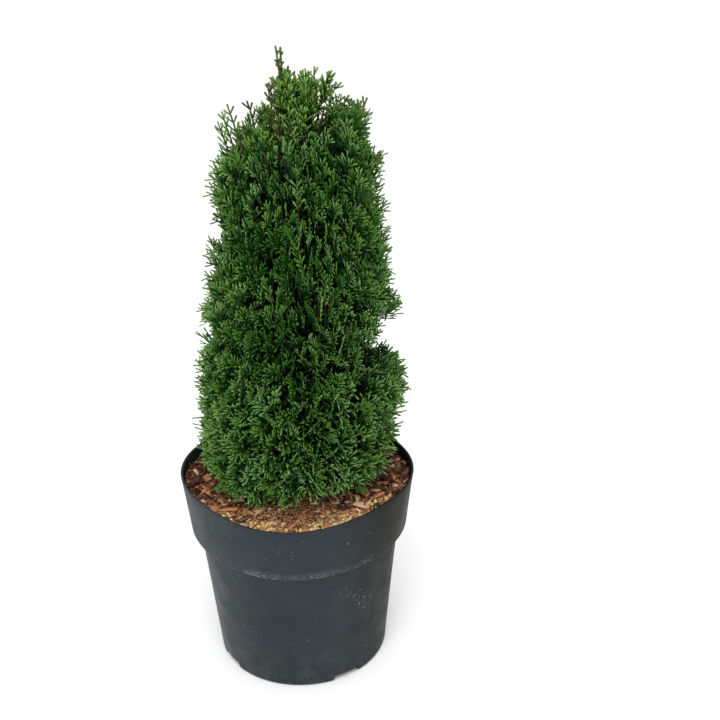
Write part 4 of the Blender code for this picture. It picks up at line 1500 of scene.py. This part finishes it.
    def plume_ring(self, count, first, last, heights, radii):
        """Plumes by a rule between two azimuths."""
        for n in range(count):
            azimuth = math.radians(first + (last - first) * (n + 0.5 + self.spread(PLUME_JITTER)) / count)
            height = self.rng.uniform(*heights) + PLUME_TILT * math.cos(azimuth)
            tip = trunk_centre(height) + ring_point(self.rng.uniform(*radii), 0, azimuth)
            foot = tip.lerp(trunk_centre(height), PLUME_INWARD) - UP * self.rng.uniform(*PLUME_LENGTH)
            sprays = self.rng.choice(RING_SPRAYS)
            self.plume(tip, foot, sprays, OPEN if sprays else ANTLER)

    def fill_top(self):
        for tip, foot, sprays, habit in PLUMES.values():
            self.plume(tip, foot, sprays, habit)
        self.plume_ring(*BACK_PLUMES)
        self.plume_ring(*FRONT_PLUMES)
        self.dome(trunk_centre(CAP_HEIGHT), CAP_RADIUS, CAP_DROP, CAP_TUFTS, TOP_TILT / CAP_RADIUS)
        place, top, radius, drop, count = HEAD
        self.dome(Vector((*place, top)), radius, drop, count)

    def dome(self, top, radius, drop, count, tilt=0.0):
        """Tufts spread evenly over a rounded top, which may rise to the right."""
        for n in range(count):
            share = (n + 0.5) / count
            azimuth = GOLDEN_ANGLE * n
            height = -drop * share + self.spread(DOME_JITTER)
            tip = top + ring_point(radius * math.sqrt(share), height, azimuth)
            tip.z += tilt * (tip.x - top.x)
            foot = tip - way_of(azimuth, math.radians(DOME_RISE[0] - DOME_RISE[1] * share)) * TUFT_LENGTH
            self.tuft(foot, tip, TUFT_SPRAYS - 1, self.habit, PLUME_LEAN, ring_point(1, 0, azimuth))

    def long_shoot(self, azimuth, height, length, tone):
        """A long bare shoot that lies on the crown's surface."""
        azimuth = math.radians(azimuth)
        low = height - length
        swung = azimuth + self.spread(LONG_SWING)
        foot = trunk_centre(low) + ring_point(crown_radius(low) * LONG_FOOT_SHARE, 0, azimuth)
        tip = trunk_centre(height) + ring_point(crown_radius(height) * LONG_TIP_SHARE, 0, swung)
        way = (tip - foot).normalized()
        self.shoot(foot, way, ring_point(1, 0, azimuth), length, SLIM, tone)
        self.twig(foot - way * LONG_TWIG[0], foot + way * LONG_TWIG[1], LONG_TWIG_RADIUS, TWIG_TIP_RADIUS)


def clump_shade(place):
    """How much painted shade, or painted light below nought, the sprays are dealt at a place on the crown."""
    shade = CLUMP_CONTRAST * noise.noise(place / CLUMP_SIZE)
    for centre, spread, height, half, amount in SHADED_PLACES:
        turn = (math.atan2(place.y, place.x) - centre + math.pi) % math.tau - math.pi
        shade += amount * math.exp(-((turn / spread) ** 2) - ((place.z - height) / half) ** 2)
    return shade


def notch_share(azimuth, height):
    """How much of the radius the dents in the outline take away at a place."""
    share = 0.0
    for middle, swing, level, half, depth in NOTCHES:
        turn = math.degrees((azimuth - math.radians(middle) + math.pi) % math.tau - math.pi)
        near = max(0.0, 1 - abs(turn) / swing) * max(0.0, 1 - abs(height - level) / half)
        share += depth * min(1.0, 2 * near)
    return share


def shaped(tip):
    """A leaf tip on a mass's face after the dents and the hem have moved it, and its azimuth."""
    centre = trunk_centre(tip.z)
    azimuth = math.atan2(tip.y - centre.y, tip.x - centre.x)
    low = max(0.0, 1 - (tip.z - SOIL_TOP) / HEM_HEIGHT)
    lift = HEM_LIFT * low * max(0.0, math.cos(azimuth - HEM_AZIMUTH)) ** HEM_NARROWING
    return centre + (tip - centre) * (1 - notch_share(azimuth, tip.z)) + UP * lift, azimuth


def build_shade(materials, nodes):
    """Leaves that fill the crown behind its branch ends, near black as painted shade."""
    rng = random.Random(SEED + 1)
    shade = Leaves()
    for n in range(SHADE_BLADES):
        azimuth = GOLDEN_ANGLE * n
        height = rng.uniform(SHADE_HEIGHTS[0], SHADE_HEIGHTS[1] + TOP_TILT * math.cos(azimuth))
        radius = crown_radius(height) * math.sqrt(rng.uniform(SHADE_OUT[0] ** 2, SHADE_OUT[1] ** 2))
        radius *= 1 - notch_share(azimuth, height)
        place = trunk_centre(height) + ring_point(radius, 0, azimuth)
        swung = azimuth + rng.uniform(-SHADE_SWING, SHADE_SWING)
        way = way_of(swung, math.radians(rng.uniform(*SHADE_RISE)))
        half = way * rng.uniform(*SHADE_LENGTH) / 2
        over = turned(across_pair(way)[1], way, rng.uniform(-SHADE_TURN, SHADE_TURN))
        shade.add(place - half, place + half, over, SHADE_WIDTH, "shade", "shade")
    mesh = mesh_from_arrays("inner_leaves", *shade.arrays(SHADE_OUTLINE), materials)
    add_piece(mesh, nodes)


def build_crown(spaces):
    materials = [leaf_finish(name, colour) for name, colour in LEAVES.items()]
    bark = bark_finish("twig_bark", *TWIG_BARK, along=BARK_ACROSS)
    rng = random.Random(SEED)
    for row in [tier[0] for tier in TIERS] + ["leader"]:
        growth = Growth(rng, row)
        nodes = []
        for space in spaces:
            if space.row == row:
                growth.fill_mass(space)
                nodes.append(f"foliage_{space.name}")
        if row == "leader":
            growth.fill_top()
            for number, shoot in enumerate(LONG_SHOOTS):
                growth.long_shoot(*shoot, LONG_TONES[min(number, len(LONG_TONES) - 1)])
            nodes.append("foliage_leader")
        joints = merged(growth.tips.arrays(TIP_OUTLINE), growth.stalks.arrays(STALK_OUTLINE))
        add_piece(mesh_from_arrays(f"leaves_{row}", *joints, materials), nodes)
        add_piece(growth.twigs.mesh(f"twigs_{row}", [bark]))
    build_shade(materials, [f"foliage_{space.name}" for space in spaces])


# Stage


def add_area_light(name, place, target, size, power):
    data = bpy.data.lights.new(name, "AREA")
    data.shape = "DISK"
    data.size = size
    data.energy = power
    light = bpy.data.objects.new(name, data)
    light.location = place
    light.rotation_euler = (Vector(target) - Vector(place)).to_track_quat("-Z", "Y").to_euler()
    bpy.context.scene.collection.objects.link(light)


def build_stage():
    scene = bpy.context.scene
    scene.view_settings.view_transform = "Standard"
    world = bpy.data.worlds.new("studio")
    world.use_nodes = True
    background = world.node_tree.nodes["Background"]
    background.inputs["Color"].default_value = (1, 1, 1, 1)
    background.inputs["Strength"].default_value = SKY_STRENGTH
    scene.world = world
    add_area_light("key", KEY_PLACE, KEY_TARGET, KEY_SIZE, KEY_POWER)
    half = FLOOR_SIDE / 2
    mesh = bpy.data.meshes.new("floor")
    corners = [(-half, -half, 0), (half, -half, 0), (half, half, 0), (-half, half, 0)]
    mesh.from_pydata(corners, [], [(0, 1, 2, 3)])
    mesh.materials.append(floor_finish())
    floor = bpy.data.objects.new("floor", mesh)
    scene.collection.objects.link(floor)


def build_camera():
    data = bpy.data.cameras.new("photo_camera")
    data.lens = CAMERA_LENS
    data.sensor_width = CAMERA_SENSOR
    camera = bpy.data.objects.new("photo_camera", data)
    turn = Matrix.Rotation(math.pi / 2 - CAMERA_PITCH, 4, "X") @ Matrix.Rotation(CAMERA_ROLL, 4, "Z")
    camera.matrix_world = Matrix.Translation(CAMERA_PLACE) @ turn
    bpy.context.scene.collection.objects.link(camera)
    bpy.context.scene.camera = camera


def main():
    build_camera()
    build_stage()
    build_pot()
    build_soil()
    build_mulch()
    build_trunk()
    spaces = []
    for tier in range(len(TIERS)):
        for number in range(TIERS[tier][1]):
            spaces.append(Space(tier, number))
    build_boughs(spaces)
    build_crown(spaces)


main()
